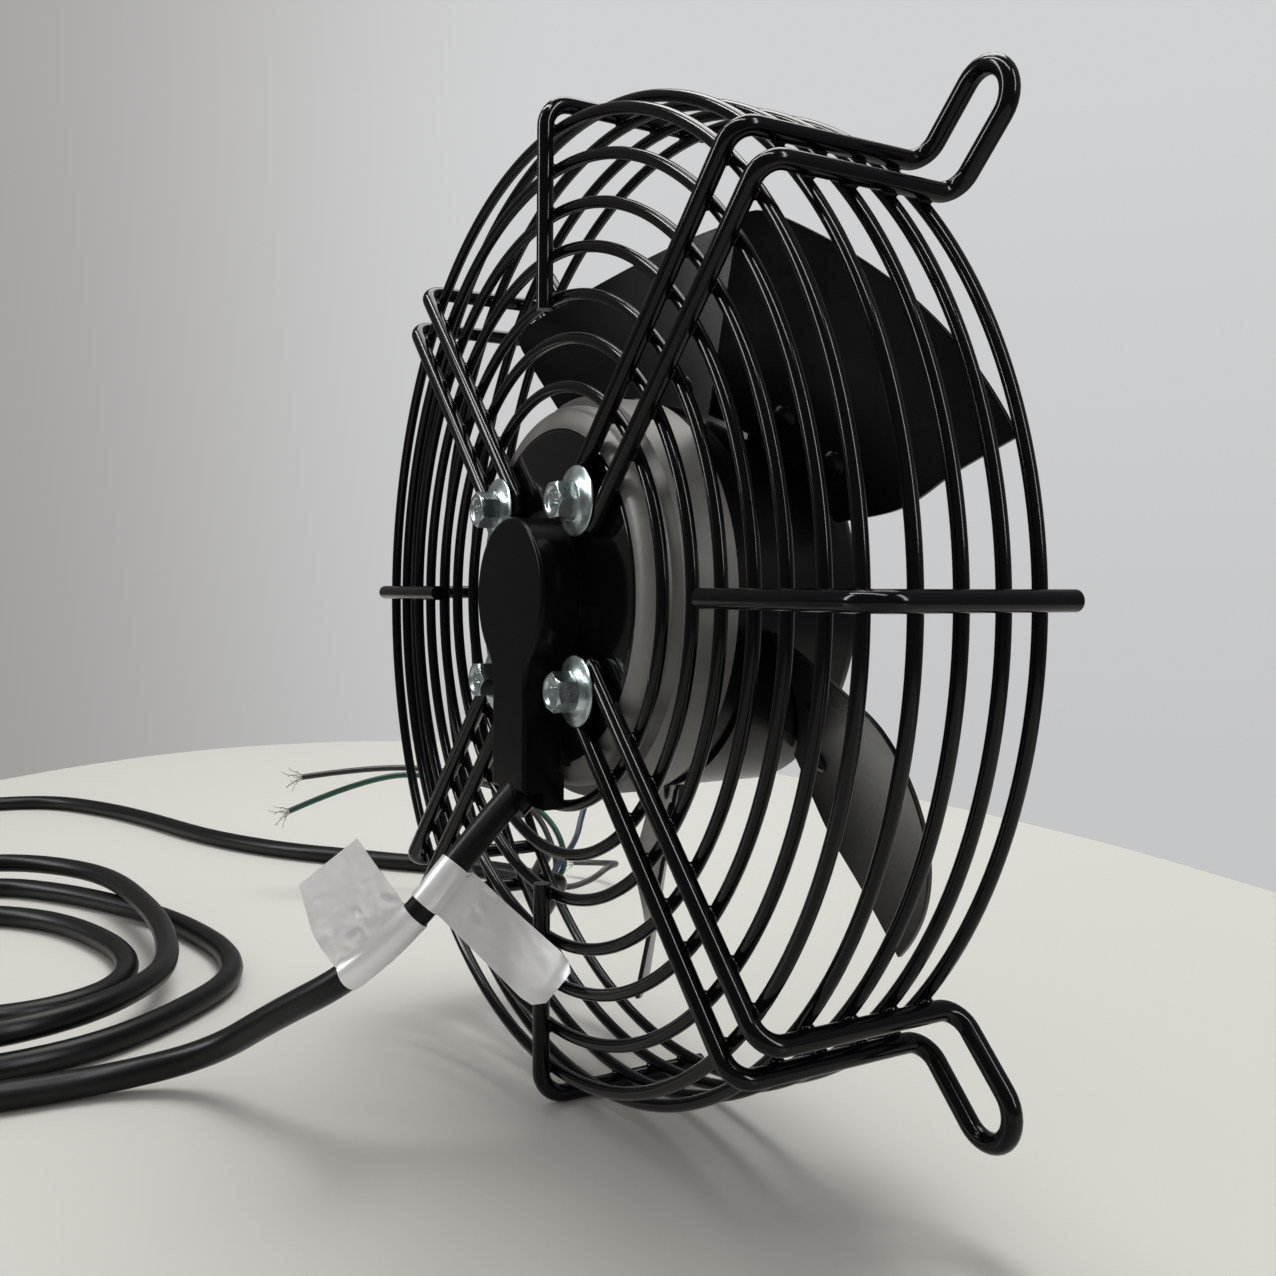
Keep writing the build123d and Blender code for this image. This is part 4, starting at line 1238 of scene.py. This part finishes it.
    def rivet_shape(self) -> tuple[list[Vector], Faces]:
        """One blade's rivets, domed on both sides.

        Returns:
            Their points and faces.
        """
        points: list[Vector] = []
        faces: Faces = []
        dome = [(self.rivet_head * math.sin(a), -self.rivet_height * math.cos(a)) for a in self.dome_angles]
        for u in self.rivet_places:
            steep = self.slope + 2 * self.curve * u + 3 * self.twist * u**2
            out = Vector((-steep, 1, 0)).normalized()
            stack = (self.thickness + self.tab_thickness + self.stack_slack) / math.sqrt(1 + steep**2)
            profile = [(radius, y - self.seat_depth) for radius, y in dome]
            profile += [(radius, stack + self.seat_depth - y) for radius, y in reversed(dome)]
            ring_points, ring_faces = lathe(profile, self.rivet_sides)
            swing = Vector((0, 1, 0)).rotation_difference(out).to_matrix()
            seat = Vector((-u, self.height(u), self.rivet_radius))
            base = len(points)
            points += [swing @ p + seat for p in ring_points]
            faces += [[base + k for k in face] for face in ring_faces]
        return points, faces

    def build(self, shop: Workshop, trees: PatternTrees) -> None:
        """Build the blades and their rivets.

        Args:
            shop: The workshop.
            trees: The trees that repeat shapes round the axis.
        """
        points, faces = self.sheet()
        blade = shop.mesh("blade_shape", in_metres(points), faces)
        soften = blade.modifiers.new("soft_edges", "BEVEL")
        soften.width = self.edge_round * MM
        soften.segments = 2
        soften.limit_method = "ANGLE"
        soften.angle_limit = SHEET_SHARP_ANGLE
        blade = shop.baked(blade, "blade_shape")
        first = self.direction - 90
        blades = trees.spread(shop, blade, "impeller_blades", trees.copies, ROTOR_COAT, self.count, first)
        shop.fit(blades, ROTOR_COAT, ROTOR_BODY, *numbered("blade", self.count))
        points, faces = self.rivet_shape()
        rivets = shop.mesh("rivet_shape", in_metres(points), faces)
        rivets = trees.spread(shop, rivets, "impeller_rivets", trees.copies, ROTOR_COAT, self.count, first)
        shop.fit(rivets, ROTOR_COAT, ROTOR_BODY, "blade_rivets")


@dataclass
class Cord:
    """A free cord on one smooth line."""

    name: str
    points: tuple[Point, ...]
    diameter: float
    finish: Finish
    stiffness: str
    nodes: tuple[str, ...]
    lay: str = "loose"
    exit_place: Point | None = None

    def line(self) -> bpy.types.Curve:
        """The smooth line along the route, without any thickness.

        Returns:
            The curve data.
        """
        data = bpy.data.curves.new(self.name, "CURVE")
        data.dimensions = "3D"
        data.resolution_u = 8
        spline = data.splines.new("NURBS")
        spline.points.add(len(self.points) - 1)
        for point, place in zip(spline.points, self.points):
            point.co = (*(Vector(place) * MM), 1.0)
        spline.order_u = 3
        spline.use_endpoint_u = True
        spline.use_smooth = True
        return data

    def curve(self, shop: Workshop) -> bpy.types.Object:
        """The cord's curve on its route.

        Args:
            shop: The workshop.

        Returns:
            The curve object.
        """
        data = self.line()
        data.bevel_depth = self.diameter / 2 * MM
        data.bevel_resolution = 5
        data.use_fill_caps = True
        return shop.fit(placed(self.name, data), self.finish, STATOR_BODY, *self.nodes)

    def length(self) -> float:
        """Measure the smooth line on the curve itself.

        Returns:
            Its length in metres.
        """
        data = self.line()
        holder = bpy.data.objects.new("measure", data)
        mesh = bpy.data.meshes.new_from_object(holder)
        places = [vertex.co for vertex in mesh.vertices]
        total = sum((places[edge.vertices[0]] - places[edge.vertices[1]]).length for edge in mesh.edges)
        bpy.data.objects.remove(holder)
        bpy.data.meshes.remove(mesh)
        bpy.data.curves.remove(data)
        return total

    def build(self, shop: Workshop, extras: Sequence[bpy.types.Object] = ()) -> bpy.types.Object:
        """Args:
            shop: The workshop.
            extras: Separate pieces on it; not used.

        Returns:
            The curve object.
        """
        piece = self.curve(shop)
        self.length()
        return piece


NEAR_RUN: tuple[Point, ...] = (
    (0, -28.881, 79.358), (0, -46, 62.536), (-0.8, -56.7, 49.4), (-9, -69.8, 35),
    (-29.5, -81.5, 22.3), (-49, -92, 9), (-59, -112, 3.6), (-60.5, -138, 3.5), (-65, -166, 3.5),
    (-77, -192, 3.5),
)
FIRST_TURN: tuple[Point, ...] = (
    (-92, -222, 3.5), (-118, -246, 3.5), (-152, -262, 3.5), (-190, -267, 3.5), (-228, -259, 3.5),
    (-261, -239, 3.5), (-286, -208, 3.5), (-298, -168, 3.5), (-293, -126, 3.5), (-268, -104, 3.5),
    (-236, -87, 3.5), (-215, -78, 3.5), (-187, -70, 3.5), (-151, -65, 3.5), (-122, -71, 3.5),
    (-99, -92, 3.5), (-84, -113, 3.5), (-79, -137, 3.5),
)
SECOND_TURN: tuple[Point, ...] = (
    (-83, -163, 3.5), (-95, -192, 3.5), (-112, -219, 3.5), (-138, -240, 3.5), (-170, -250, 3.5),
    (-205, -249, 3.5), (-238, -238, 6), (-266, -217, 10.8), (-288, -188, 11), (-302, -155, 11),
    (-303, -125, 10.9), (-283, -103, 10.8), (-251, -88, 10.8), (-201, -83, 10.5), (-164, -83, 9.6),
    (-126, -89, 9.6), (-105, -101, 10.3), (-90.5, -116, 10.8), (-83.5, -135, 10.9),
)
THIRD_TURN: tuple[Point, ...] = (
    (-87.5, -157, 9.9), (-99, -182, 6.2), (-120, -207, 3.6), (-150, -226, 3.5), (-182, -233, 3.5),
    (-214, -228, 3.5), (-241, -210, 3.5), (-256, -183, 3.5), (-256, -152, 3.5), (-242, -127, 3.5),
    (-223, -111, 3.5), (-198, -101, 3.5), (-169, -95, 3.5), (-146, -97, 3.5), (-129, -106, 3.5),
    (-120, -122, 3.5), (-121, -141, 3.5),
)
WAY_OUT: tuple[Point, ...] = (
    (-130, -162, 3.5), (-141, -187, 5.4), (-153, -208, 10), (-165, -230, 11.4), (-182, -249, 11.6),
    (-204, -263, 11.2), (-229, -269, 7.4), (-256, -268, 3.8),
)
FAR_RUN: tuple[Point, ...] = (
    (-300, -264, 3.5), (-350, -256, 3.5), (-402, -239, 3.5), (-452, -211, 3.5), (-488, -172, 3.5),
    (-503, -131, 3.5), (-497, -88, 3.5), (-456, -64, 3.5), (-411, -48, 3.5), (-358, -34, 3.5),
    (-323, -19, 3.5), (-296, -3, 3.5), (-275, 14, 3.5), (-255, 29, 3.5), (-236, 47, 3.5),
    (-213.5, 65, 3.5), (-187.7, 69.2, 3.5),
)
LEAD_ROUTES: dict[str, tuple[Point, ...]] = {
    "lead_brown": (
        (-189.6, 69.6, 5), (-183.7, 70.8, 8.5), (-180.6, 66.9, 19.9), (-186.7, 62.7, 32.9),
        (-199.6, 52.2, 42.4), (-216, 33.8, 48.5), (-230.7, 8.1, 49.3), (-244.9, -16.1, 45),
    ),
    "lead_green": (
        (-190, 70.7, 3.4), (-185.4, 74.2, 6), (-183.2, 73.7, 17.8), (-190.1, 69.7, 29.9),
        (-202.8, 58.1, 39.8), (-219.6, 35.3, 45.4), (-233.7, 9.5, 45.6), (-246.5, -20.9, 31.3),
    ),
    "lead_blue": (
        (-189, 68, 3.4), (-181.5, 67.4, 5.4), (-176.2, 66.2, 12.8), (-171.2, 72.6, 22.9),
        (-176.3, 77.8, 33), (-184.1, 86.4, 42.3),
    ),
    "lead_grey": (
        (-189.4, 69.6, 1.9), (-181, 73.5, 1.9), (-173, 80.7, 6.3), (-171.6, 87.7, 11.4),
        (-180.4, 97.2, 9.6), (-194.4, 98.2, 7.1), (-206.2, 90.1, 5.9),
    ),
}
LEAD_FINISHES: dict[str, Finish] = {
    "lead_brown": BROWN_CORE, "lead_green": GREEN_CORE, "lead_blue": BLUE_CORE, "lead_grey": GREY_CORE,
}


@dataclass
class BareStrands:
    """The frayed copper at a lead's end."""

    count: int = 11
    reach: float = 8.0
    spread: float = 0.6
    thickness: float = 0.2
    lowest: float = 0.3
    curl: float = 0.9
    gap: float = 0.7
    root: float = 1.0
    steps: int = 8
    sides: int = 6

    def build(self, shop: Workshop, lead: str, route: tuple[Point, ...]) -> bpy.types.Object:
        """Build the strands of one lead.

        Args:
            shop: The workshop.
            lead: The lead's name.
            route: The lead's route, whose end they leave.

        Returns:
            The strands.
        """
        end, before = Vector(route[-1]), Vector(route[-2])
        ahead = (end - before).normalized()
        side = ahead.orthogonal().normalized()
        points: list[Vector] = []
        faces: Faces = []
        # Sines of each strand's number take the place of chance.
        for k in range(self.count):
            swing = 2 * math.pi * k / self.count + 0.4 * math.sin(3.1 * k)
            out = Matrix.Rotation(swing, 3, ahead) @ side
            lean = self.spread * (0.25 + 0.75 * abs(math.sin(2.3 * k + 1)))
            reach = self.reach * (0.75 + 0.35 * abs(math.cos(1.7 * k)))
            short = 0.35 * abs(math.sin(k))
            line = []
            for step in range(self.steps + 1):
                t = step / self.steps
                curl = Vector((math.sin(5 * t + k), math.cos(4 * t + 2 * k), math.sin(6 * t - k)))
                bow = out * (self.gap + lean * reach * t**1.6) + curl * (self.curl * t)
                place = end + ahead * (reach * t * (1 - short * t) - self.root) + bow
                line.append(Vector((place.x, place.y, max(place.z, self.lowest))))
            self.wire(points, faces, line)
        strands = shop.mesh(lead + "_strands", in_metres(points), faces)
        return shop.fit(strands, COPPER_STRAND, STATOR_BODY)

    def wire(self, points: list[Vector], faces: Faces, line: list[Vector]) -> None:
        """Add one thin round wire to shared points and faces.

        Args:
            points: The shared points.
            faces: The shared faces.
            line: The wire's centreline.
        """
        base, sides = len(points), self.sides
        for k, place in enumerate(line):
            ahead = (line[min(k + 1, len(line) - 1)] - line[max(k - 1, 0)]).normalized()
            side = ahead.orthogonal().normalized() * self.thickness / 2
            turns = [Matrix.Rotation(2 * math.pi * n / sides, 3, ahead) for n in range(sides)]
            points += [place + turn @ side for turn in turns]
        faces += tube_faces(base, len(line), sides)
        last = base + (len(line) - 1) * sides
        faces += [[base + n for n in reversed(range(sides))], [last + n for n in range(sides)]]


@dataclass(frozen=True)
class Crease:
    """A fold line in a foil flag, beyond which the foil leans."""

    place: tuple[float, float]
    direction: float
    lean: float
    softness: float = 0.5

    def lift(self, flat: Vector) -> float:
        """How far the foil stands off because of this crease.

        Args:
            flat: The place in the flag's plane.

        Returns:
            The distance in millimetres.
        """
        angle = math.radians(self.direction)
        reach = (flat - Vector(self.place)).dot(Vector((-math.sin(angle), math.cos(angle))))
        return self.lean * (reach + math.sqrt(reach**2 + self.softness**2)) / 2


@dataclass
class FoilFlag:
    """A foil label: a band round the cable and a flag whose two halves lie together."""

    name: str
    node: str
    root: Point
    along: Point
    reach: Point
    outline: Pairs
    band: tuple[float, float]
    bow: float
    crumple: float
    seed: float
    creases: tuple[Crease, ...] = ()
    cable: float = 7.0
    thickness: float = 0.22
    start: float = 0.9
    wave: float = 1.6
    wave_scale: float = 0.07
    crinkle: float = 3.0
    crinkle_scale: tuple[float, float] = (0.55, 0.4)
    crinkle_fade: float = 6.0
    root_ramp: float = 2.5
    bow_turn: float = 0.9
    bow_across: float = 0.3
    band_gap: float = 0.06
    band_dent: float = 0.18
    rows: int = 40
    columns: int = 28
    band_rows: int = 10
    band_steps: int = 40

    def frame_vectors(self) -> tuple[Vector, Vector, Vector]:
        """The flag's own directions.

        Returns:
            The cable's direction, the flag's direction and the flag's normal.
        """
        axis = Vector(self.along).normalized()
        out = Vector(self.reach)
        out = (out - axis * out.dot(axis)).normalized()
        return axis, out, axis.cross(out)

    def edge_at(self, t: float, first_side: bool) -> Vector:
        """A point on one side of the outline.

        Args:
            t: Its place from 0 at the root to 1 at the end.
            first_side: Whether it lies on the outline's first half.

        Returns:
            The point in the flag's plane.
        """
        half = len(self.outline) // 2
        line = self.outline[:half] if first_side else self.outline[:half - 1:-1]
        place = t * (half - 1)
        k = min(int(place), half - 2)
        return Vector(line[k]).lerp(Vector(line[k + 1]), place - k)

    def lift(self, flat: Vector, s: float, t: float) -> float:
        """How far the foil stands off its plane.

        Args:
            flat: The place in the flag's plane.
            s: The place across the flag, from 0 to 1.
            t: The place from the root to the end, from 0 to 1.

        Returns:
            The distance along the flag's normal in millimetres.
        """
        across = self.bow_across * math.sin(math.pi * s) * t
        bow = self.bow * (math.sin(math.pi * t * self.bow_turn) + across)
        wave = noise.noise(Vector((*(flat * self.wave_scale), self.seed)))
        fine_x, fine_y = self.crinkle_scale
        crinkle = noise.noise(Vector((flat.x * fine_x, flat.y * fine_y, self.seed + 4)))
        crinkle *= math.exp(-flat.y / self.crinkle_fade)
        uneven = self.crumple * (self.wave * wave + self.crinkle * crinkle) * min(1.0, t * self.root_ramp)
        return bow + uneven + sum(crease.lift(flat) for crease in self.creases)

    def surface(self) -> list[Vector]:
        """The flag's middle surface.

        Returns:
            Its points, row by row from the root to the end.
        """
        axis, out, normal = self.frame_vectors()
        root = Vector(self.root) + out * (self.cable / 2 * self.start)
        places: list[Vector] = []
        for j in range(self.rows + 1):
            t = j / self.rows
            left, right = self.edge_at(t, True), self.edge_at(t, False)
            for i in range(self.columns + 1):
                s = i / self.columns
                flat = left.lerp(right, s)
                places.append(root + axis * flat.x + out * flat.y + normal * self.lift(flat, s, t))
        return places

    def build(self, shop: Workshop) -> bpy.types.Object:
        """Build the flag with its band.

        Args:
            shop: The workshop.

        Returns:
            The flag.
        """
        middle = self.surface()
        half = self.frame_vectors()[2] * (self.thickness / 2)
        front, back = [p - half for p in middle], [p + half for p in middle]
        points, faces = closed_sheet(front, back, self.rows, self.columns)
        self.add_band(points, faces)
        flag = shop.mesh(self.name, in_metres(points), faces)
        return shop.fit(flag, FOIL, STATOR_BODY, self.node)

    def cable_place(self, reach: float) -> tuple[Vector, Vector]:
        """A place on the cable.

        Args:
            reach: Distance along the cable from the flag's root, in millimetres.

        Returns:
            The cable's centre and its direction there.
        """
        line = quadratic_line(NEAR_RUN)
        root = Vector(self.root)
        k = min(range(1, len(line) - 1), key=lambda n: (line[n] - root).length)
        step, left = (1 if reach >= 0 else -1), abs(reach)
        while 0 < k < len(line) - 1 and (line[k + step] - line[k]).length < left:
            left -= (line[k + step] - line[k]).length
            k += step
        heading = (line[k + 1] - line[k - 1]).normalized()
        return line[k] + heading * (left * step), heading

    def add_band(self, points: list[Vector], faces: Faces) -> None:
        """Add the band that is wrapped round the cable.

        Args:
            points: The flag's points, which the band's are added to.
            faces: The flag's faces, which the band's are added to.
        """
        out = self.frame_vectors()[1]
        steps, rings = self.band_steps, self.band_rows + 1
        near, far = self.band
        radius = self.cable / 2 + self.band_gap
        inner: list[Vector] = []
        outer: list[Vector] = []
        for j in range(rings):
            reach = near + (far - near) * j / self.band_rows
            centre, heading = self.cable_place(reach)
            across = (out - heading * out.dot(heading)).normalized()
            beside = heading.cross(across)
            for k in range(steps):
                angle = 2 * math.pi * k / steps
                uneven = noise.noise(Vector((reach * 0.3, math.cos(angle), math.sin(angle) + self.seed)))
                ray = across * math.cos(angle) + beside * math.sin(angle)
                inner.append(centre + ray * radius)
                outer.append(centre + ray * (radius + self.thickness + max(0.0, self.band_dent * uneven)))
        base, apart = len(points), rings * steps
        points += inner + outer
        faces += tube_faces(base, rings, steps) + tube_faces(base + apart, rings, steps)
        for ring in (base, base + self.band_rows * steps):
            for k in range(steps):
                n = (k + 1) % steps
                faces.append([ring + k, ring + n, ring + apart + n, ring + apart + k])


LONG_FLAG = FoilFlag(
    "long_flag", "foil_flag_long", (-0.5, -48.7, 57.9), (-1.0, -12.0, -11.0), (0.37, 0.63, -0.68),
    ((-3.4, 0.0), (-3.8, 9.0), (-4.3, 19.0), (-4.8, 27.5), (-4.6, 30.4), (-2.9, 32.6),
     (5.7, 32.8), (8.2, 30.6), (8.8, 27.5), (8.8, 19.0), (8.8, 9.0), (8.8, 0.0)),
    (-2.8, 8.4), 1.2, 0.6, 1.3,
    (Crease((0.0, 4.5), 14, -0.3), Crease((0.0, 9.0), -8, 0.3), Crease((2.0, 30.0), 4, 0.2)),
)
FOLDED_FLAG = FoilFlag(
    "folded_flag", "foil_flag_folded", (-6.3, -65.4, 39.9), (-8.0, -13.0, -15.0), (-0.1, -0.2, 1.0),
    ((-13.0, 0.0), (-14.0, 6.5), (-15.0, 12.5), (-16.0, 18.6),
     (-1.2, 20.2), (5.2, 10.6), (7.7, 4.2), (8.4, 0.0)),
    (-12.4, 8.6), 1.2, 0.9, 7.7,
    (Crease((-4.0, 10.0), -36, -0.38, 0.3), Crease((-9.0, 15.0), 32, 0.1), Crease((0.0, 3.0), 4, -0.12)),
)


@dataclass
class SupplyCable:
    """The supply cable with its loose turns, its leads and its foil flags."""

    diameter: float = 7.0
    lead: float = 2.4
    mouth: Point = (0.0, -35.3, 73.05)

    def build(self, shop: Workshop) -> None:
        """Build every cord, with the pieces on it.

        Args:
            shop: The workshop.
        """
        flags = [LONG_FLAG.build(shop), FOLDED_FLAG.build(shop)]
        route = NEAR_RUN + FIRST_TURN + SECOND_TURN + THIRD_TURN + WAY_OUT + FAR_RUN
        nodes = ("cable_near_run", "cable_coil", "cable_far_run")
        cable = Cord("supply_cable", route, self.diameter, SHEATH, "medium", nodes, exit_place=self.mouth)
        cable.build(shop, flags)
        for name, points in LEAD_ROUTES.items():
            strands = BareStrands().build(shop, name, points)
            lead = Cord(name + "_core", points, self.lead, LEAD_FINISHES[name], "limp", (name,))
            lead.build(shop, [strands])


class MotorParts:
    """The motor's rigid pieces, which keep their CAD shape and get their finish."""

    def build(self, shop: Workshop) -> None:
        """Dress every motor node that stays in view.

        Args:
            shop: The workshop.
        """
        shop.dress(PLATE_COAT, "motor_end_plate")
        shop.dress(COVER_PLASTIC, "terminal_cover")
        shop.dress(CAST_GREY, "stator_housing")
        shop.dress(ROTOR_COAT, "rotor_can", "blade_carrier")
        shop.dress(STACKED_STEEL, "stator_core", "rotor_core")
        shop.dress(WOUND_COPPER, "stator_windings")
        shop.dress(WHITE_PLASTIC, "stator_insulators", "lead_splices")
        shop.dress(CAST_ALUMINIUM, "rotor_end_rings")
        shop.dress(PLAIN_STEEL, "cable_lock_ring", "bearing_spacer", "preload_washer", "shaft_circlip")
        shop.dress(GROUND_STEEL, "shaft")
        for place in ("front", "rear"):
            for part in ("outer_ring", "inner_ring", "balls"):
                shop.dress(GROUND_STEEL, f"{place}_bearing_{part}")
            shop.dress(PLAIN_STEEL, f"{place}_bearing_cage")


@dataclass(frozen=True)
class Lamp:
    """A rectangular lamp: its place and aim in metres, its size, its power in watts and its tint.

    A lamp that isn't diffuse shows in glossy surfaces alone.
    """

    name: str
    place: Point
    size: tuple[float, float]
    power: float
    tint: Colour = (1.0, 1.0, 1.0)
    aim: Point = (0.0, 0.0, 0.12)
    diffuse: bool = False

    def hang(self) -> None:
        """Add the lamp to the scene."""
        data = bpy.data.lights.new(self.name, "AREA")
        data.shape = "RECTANGLE"
        data.size, data.size_y = self.size
        data.energy = self.power
        data.color = self.tint
        holder = placed(self.name, data)
        look = (Vector(self.aim) - Vector(self.place)).to_track_quat("-Z", "Y")
        holder.matrix_world = Matrix.Translation(Vector(self.place)) @ look.to_matrix().to_4x4()
        holder.visible_diffuse = self.diffuse


LAMPS = (
    Lamp(
        "ceiling_panel", (-0.45, 0.35, 1.5), (1.0, 0.8), 15.5, (1.0, 0.99, 0.96), aim=(-0.05, 0.05, 0.0),
        diffuse=True,
    ),
    Lamp("strip_overhead", (0.05, -0.35, 1.1), (1.3, 0.08), 10.5),
    Lamp("strip_left", (-0.55, -0.95, 0.75), (0.13, 0.9), 9.0, (0.97, 0.98, 1.0)),
    Lamp("strip_right", (0.95, 0.25, 0.7), (0.11, 0.9), 7.5),
)
TABLE_EDGE = (
    (-618, -105), (-669, -40), (-704, 34), (-710, 105), (-694, 169), (-610, 262), (-480, 322),
    (-330, 350), (-171, 350), (-40, 326), (150, 278), (330, 205), (470, 90), (545, -60),
    (530, -210), (430, -325), (260, -395), (40, -415), (-160, -400), (-348, -330), (-512, -213),
)


@dataclass
class Studio:
    """Camera, table, background and lamps."""

    camera_place: Point = (0.2722, -0.15872, 0.12451)
    yaw: float = 59.69
    pitch: float = 1.09
    roll: float = 0.20
    lens: float = 35.37
    shift_y: float = -0.060
    sensor: float = 36.0
    view_range: tuple[float, float] = (0.01, 50.0)
    table_half: float = 0.012
    table_round: float = 0.004
    table_gap: float = 0.0001
    lacquer: tuple[Colour, Colour] = ((0.775, 0.775, 0.735), (0.825, 0.825, 0.79))
    lacquer_roughness: float = 0.38
    # Painted shade and painted light of the wall: its shaded colour and its lit colour.
    wall: tuple[Colour, Colour] = ((0.385, 0.375, 0.355), (0.635, 0.64, 0.645))
    daylight: Colour = (1.0, 0.985, 0.955)
    daylight_level: float = 0.46
    mirrored_loss: float = 0.6

    def camera(self) -> None:
        """Set the camera where the photograph was taken."""
        yaw, pitch, roll = (math.radians(a) for a in (self.yaw, self.pitch, self.roll))
        level = math.cos(pitch)
        forward = Vector((-math.sin(yaw) * level, math.cos(yaw) * level, math.sin(pitch)))
        right = Vector((math.cos(yaw), math.sin(yaw), 0))
        up = right.cross(forward)
        tilted = right * math.cos(roll) + up * math.sin(roll)
        upward = up * math.cos(roll) - right * math.sin(roll)
        data = bpy.data.cameras.new("camera")
        data.sensor_width = self.sensor
        data.lens = self.lens
        data.shift_y = self.shift_y
        data.clip_start, data.clip_end = self.view_range
        holder = placed("camera", data)
        turn = Matrix((tilted, upward, -forward)).transposed().to_4x4()
        holder.matrix_world = Matrix.Translation(Vector(self.camera_place)) @ turn
        bpy.context.scene.camera = holder

    def table(self) -> None:
        """A pale table top with a rounded outline."""
        data = bpy.data.curves.new("table_top", "CURVE")
        data.dimensions = "2D"
        data.fill_mode = "BOTH"
        data.resolution_u = 12
        data.extrude = self.table_half
        data.bevel_depth = self.table_round
        data.bevel_resolution = 3
        spline = data.splines.new("BEZIER")
        spline.bezier_points.add(len(TABLE_EDGE) - 1)
        for point, (x, y) in zip(spline.bezier_points, TABLE_EDGE):
            point.co = (x * MM, y * MM, 0)
            point.handle_left_type = point.handle_right_type = "AUTO"
        spline.use_cyclic_u = True
        mesh = mesh_of(placed("table_top", data))
        mesh.transform(Matrix.Translation((0, 0, -self.table_half - self.table_round - self.table_gap)))
        mesh.materials.clear()
        mesh.materials.append(self.table_finish())
        placed("table_top", mesh)

    def table_finish(self) -> bpy.types.Material:
        """Pale satin lacquer with faint patches.

        Returns:
            The material.
        """
        material = bpy.data.materials.new("table_lacquer")
        material.use_nodes = True
        graph = Graph(material.node_tree)
        shader = material.node_tree.nodes["Principled BSDF"].inputs
        shader["Roughness"].default_value = self.lacquer_roughness
        dull, clear = ((*colour, 1.0) for colour in self.lacquer)
        graph.feed(shader["Base Color"], graph.blend(graph.cloud(3.0, 3.0), dull, clear))
        return material

    def background(self) -> None:
        """A pale wall for the camera and for reflections, with painted shade and painted light on it, and
        even light for everything else.
        """
        world = bpy.data.worlds.new("studio")
        bpy.context.scene.world = world
        world.use_nodes = True
        graph = Graph(world.node_tree)
        world.node_tree.nodes.clear()
        rays = graph.add("ShaderNodeLightPath").outputs
        mirrored = graph.math("MAXIMUM", rays["Is Glossy Ray"], rays["Is Transmission Ray"])
        seen = graph.math("MAXIMUM", rays["Is Camera Ray"], mirrored)
        direction = graph.split_place("Generated")
        # Painted light and shade: the wall goes from its shaded colour to its lit colour along Y.
        side = graph.add(
            "ShaderNodeMapRange", {"interpolation_type": "SMOOTHSTEP"}, Value=direction["Y"], From_Min=0.0,
            From_Max=0.42,
        )
        # Painted shade: the wall grows darker towards the bottom.
        low = graph.add(
            "ShaderNodeMapRange", Value=direction["Z"], From_Min=-0.12, From_Max=0.35, To_Min=0.88,
            To_Max=1.0,
        )
        shaded, lit = ((*colour, 1.0) for colour in self.wall)
        wall = graph.blend(side.outputs["Result"], shaded, lit)
        kept = graph.math("SUBTRACT", 1.0, graph.math("MULTIPLY", mirrored, self.mirrored_loss))
        level = graph.math("MULTIPLY", low.outputs["Result"], kept)
        shown = graph.add("ShaderNodeBackground", Color=wall, Strength=level)
        light = graph.add("ShaderNodeBackground", Color=(*self.daylight, 1.0), Strength=self.daylight_level)
        mixed = graph.add("ShaderNodeMixShader", Fac=seen)
        graph.feed(mixed.inputs[1], light.outputs["Background"])
        graph.feed(mixed.inputs[2], shown.outputs["Background"])
        target = graph.add("ShaderNodeOutputWorld")
        graph.feed(target.inputs["Surface"], mixed.outputs["Shader"])

    def build(self) -> None:
        """Set up the whole studio."""
        bpy.context.scene.view_settings.view_transform = "Standard"
        self.camera()
        self.table()
        self.background()
        for lamp in LAMPS:
            lamp.hang()


def main() -> None:
    """Build the fan over its CAD frame and report each piece."""
    logging.basicConfig(level=logging.INFO, format="%(name)s: %(message)s")
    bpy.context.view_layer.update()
    shop = Workshop()
    trees = PatternTrees()
    studio = Studio()
    studio.build()
    SupplyCable().build(shop)
    WireGuard().build(shop, trees)
    FlangeBolts().build(shop, trees)
    Blades().build(shop, trees)
    MotorParts().build(shop)


if __name__ == "__main__":
    main()
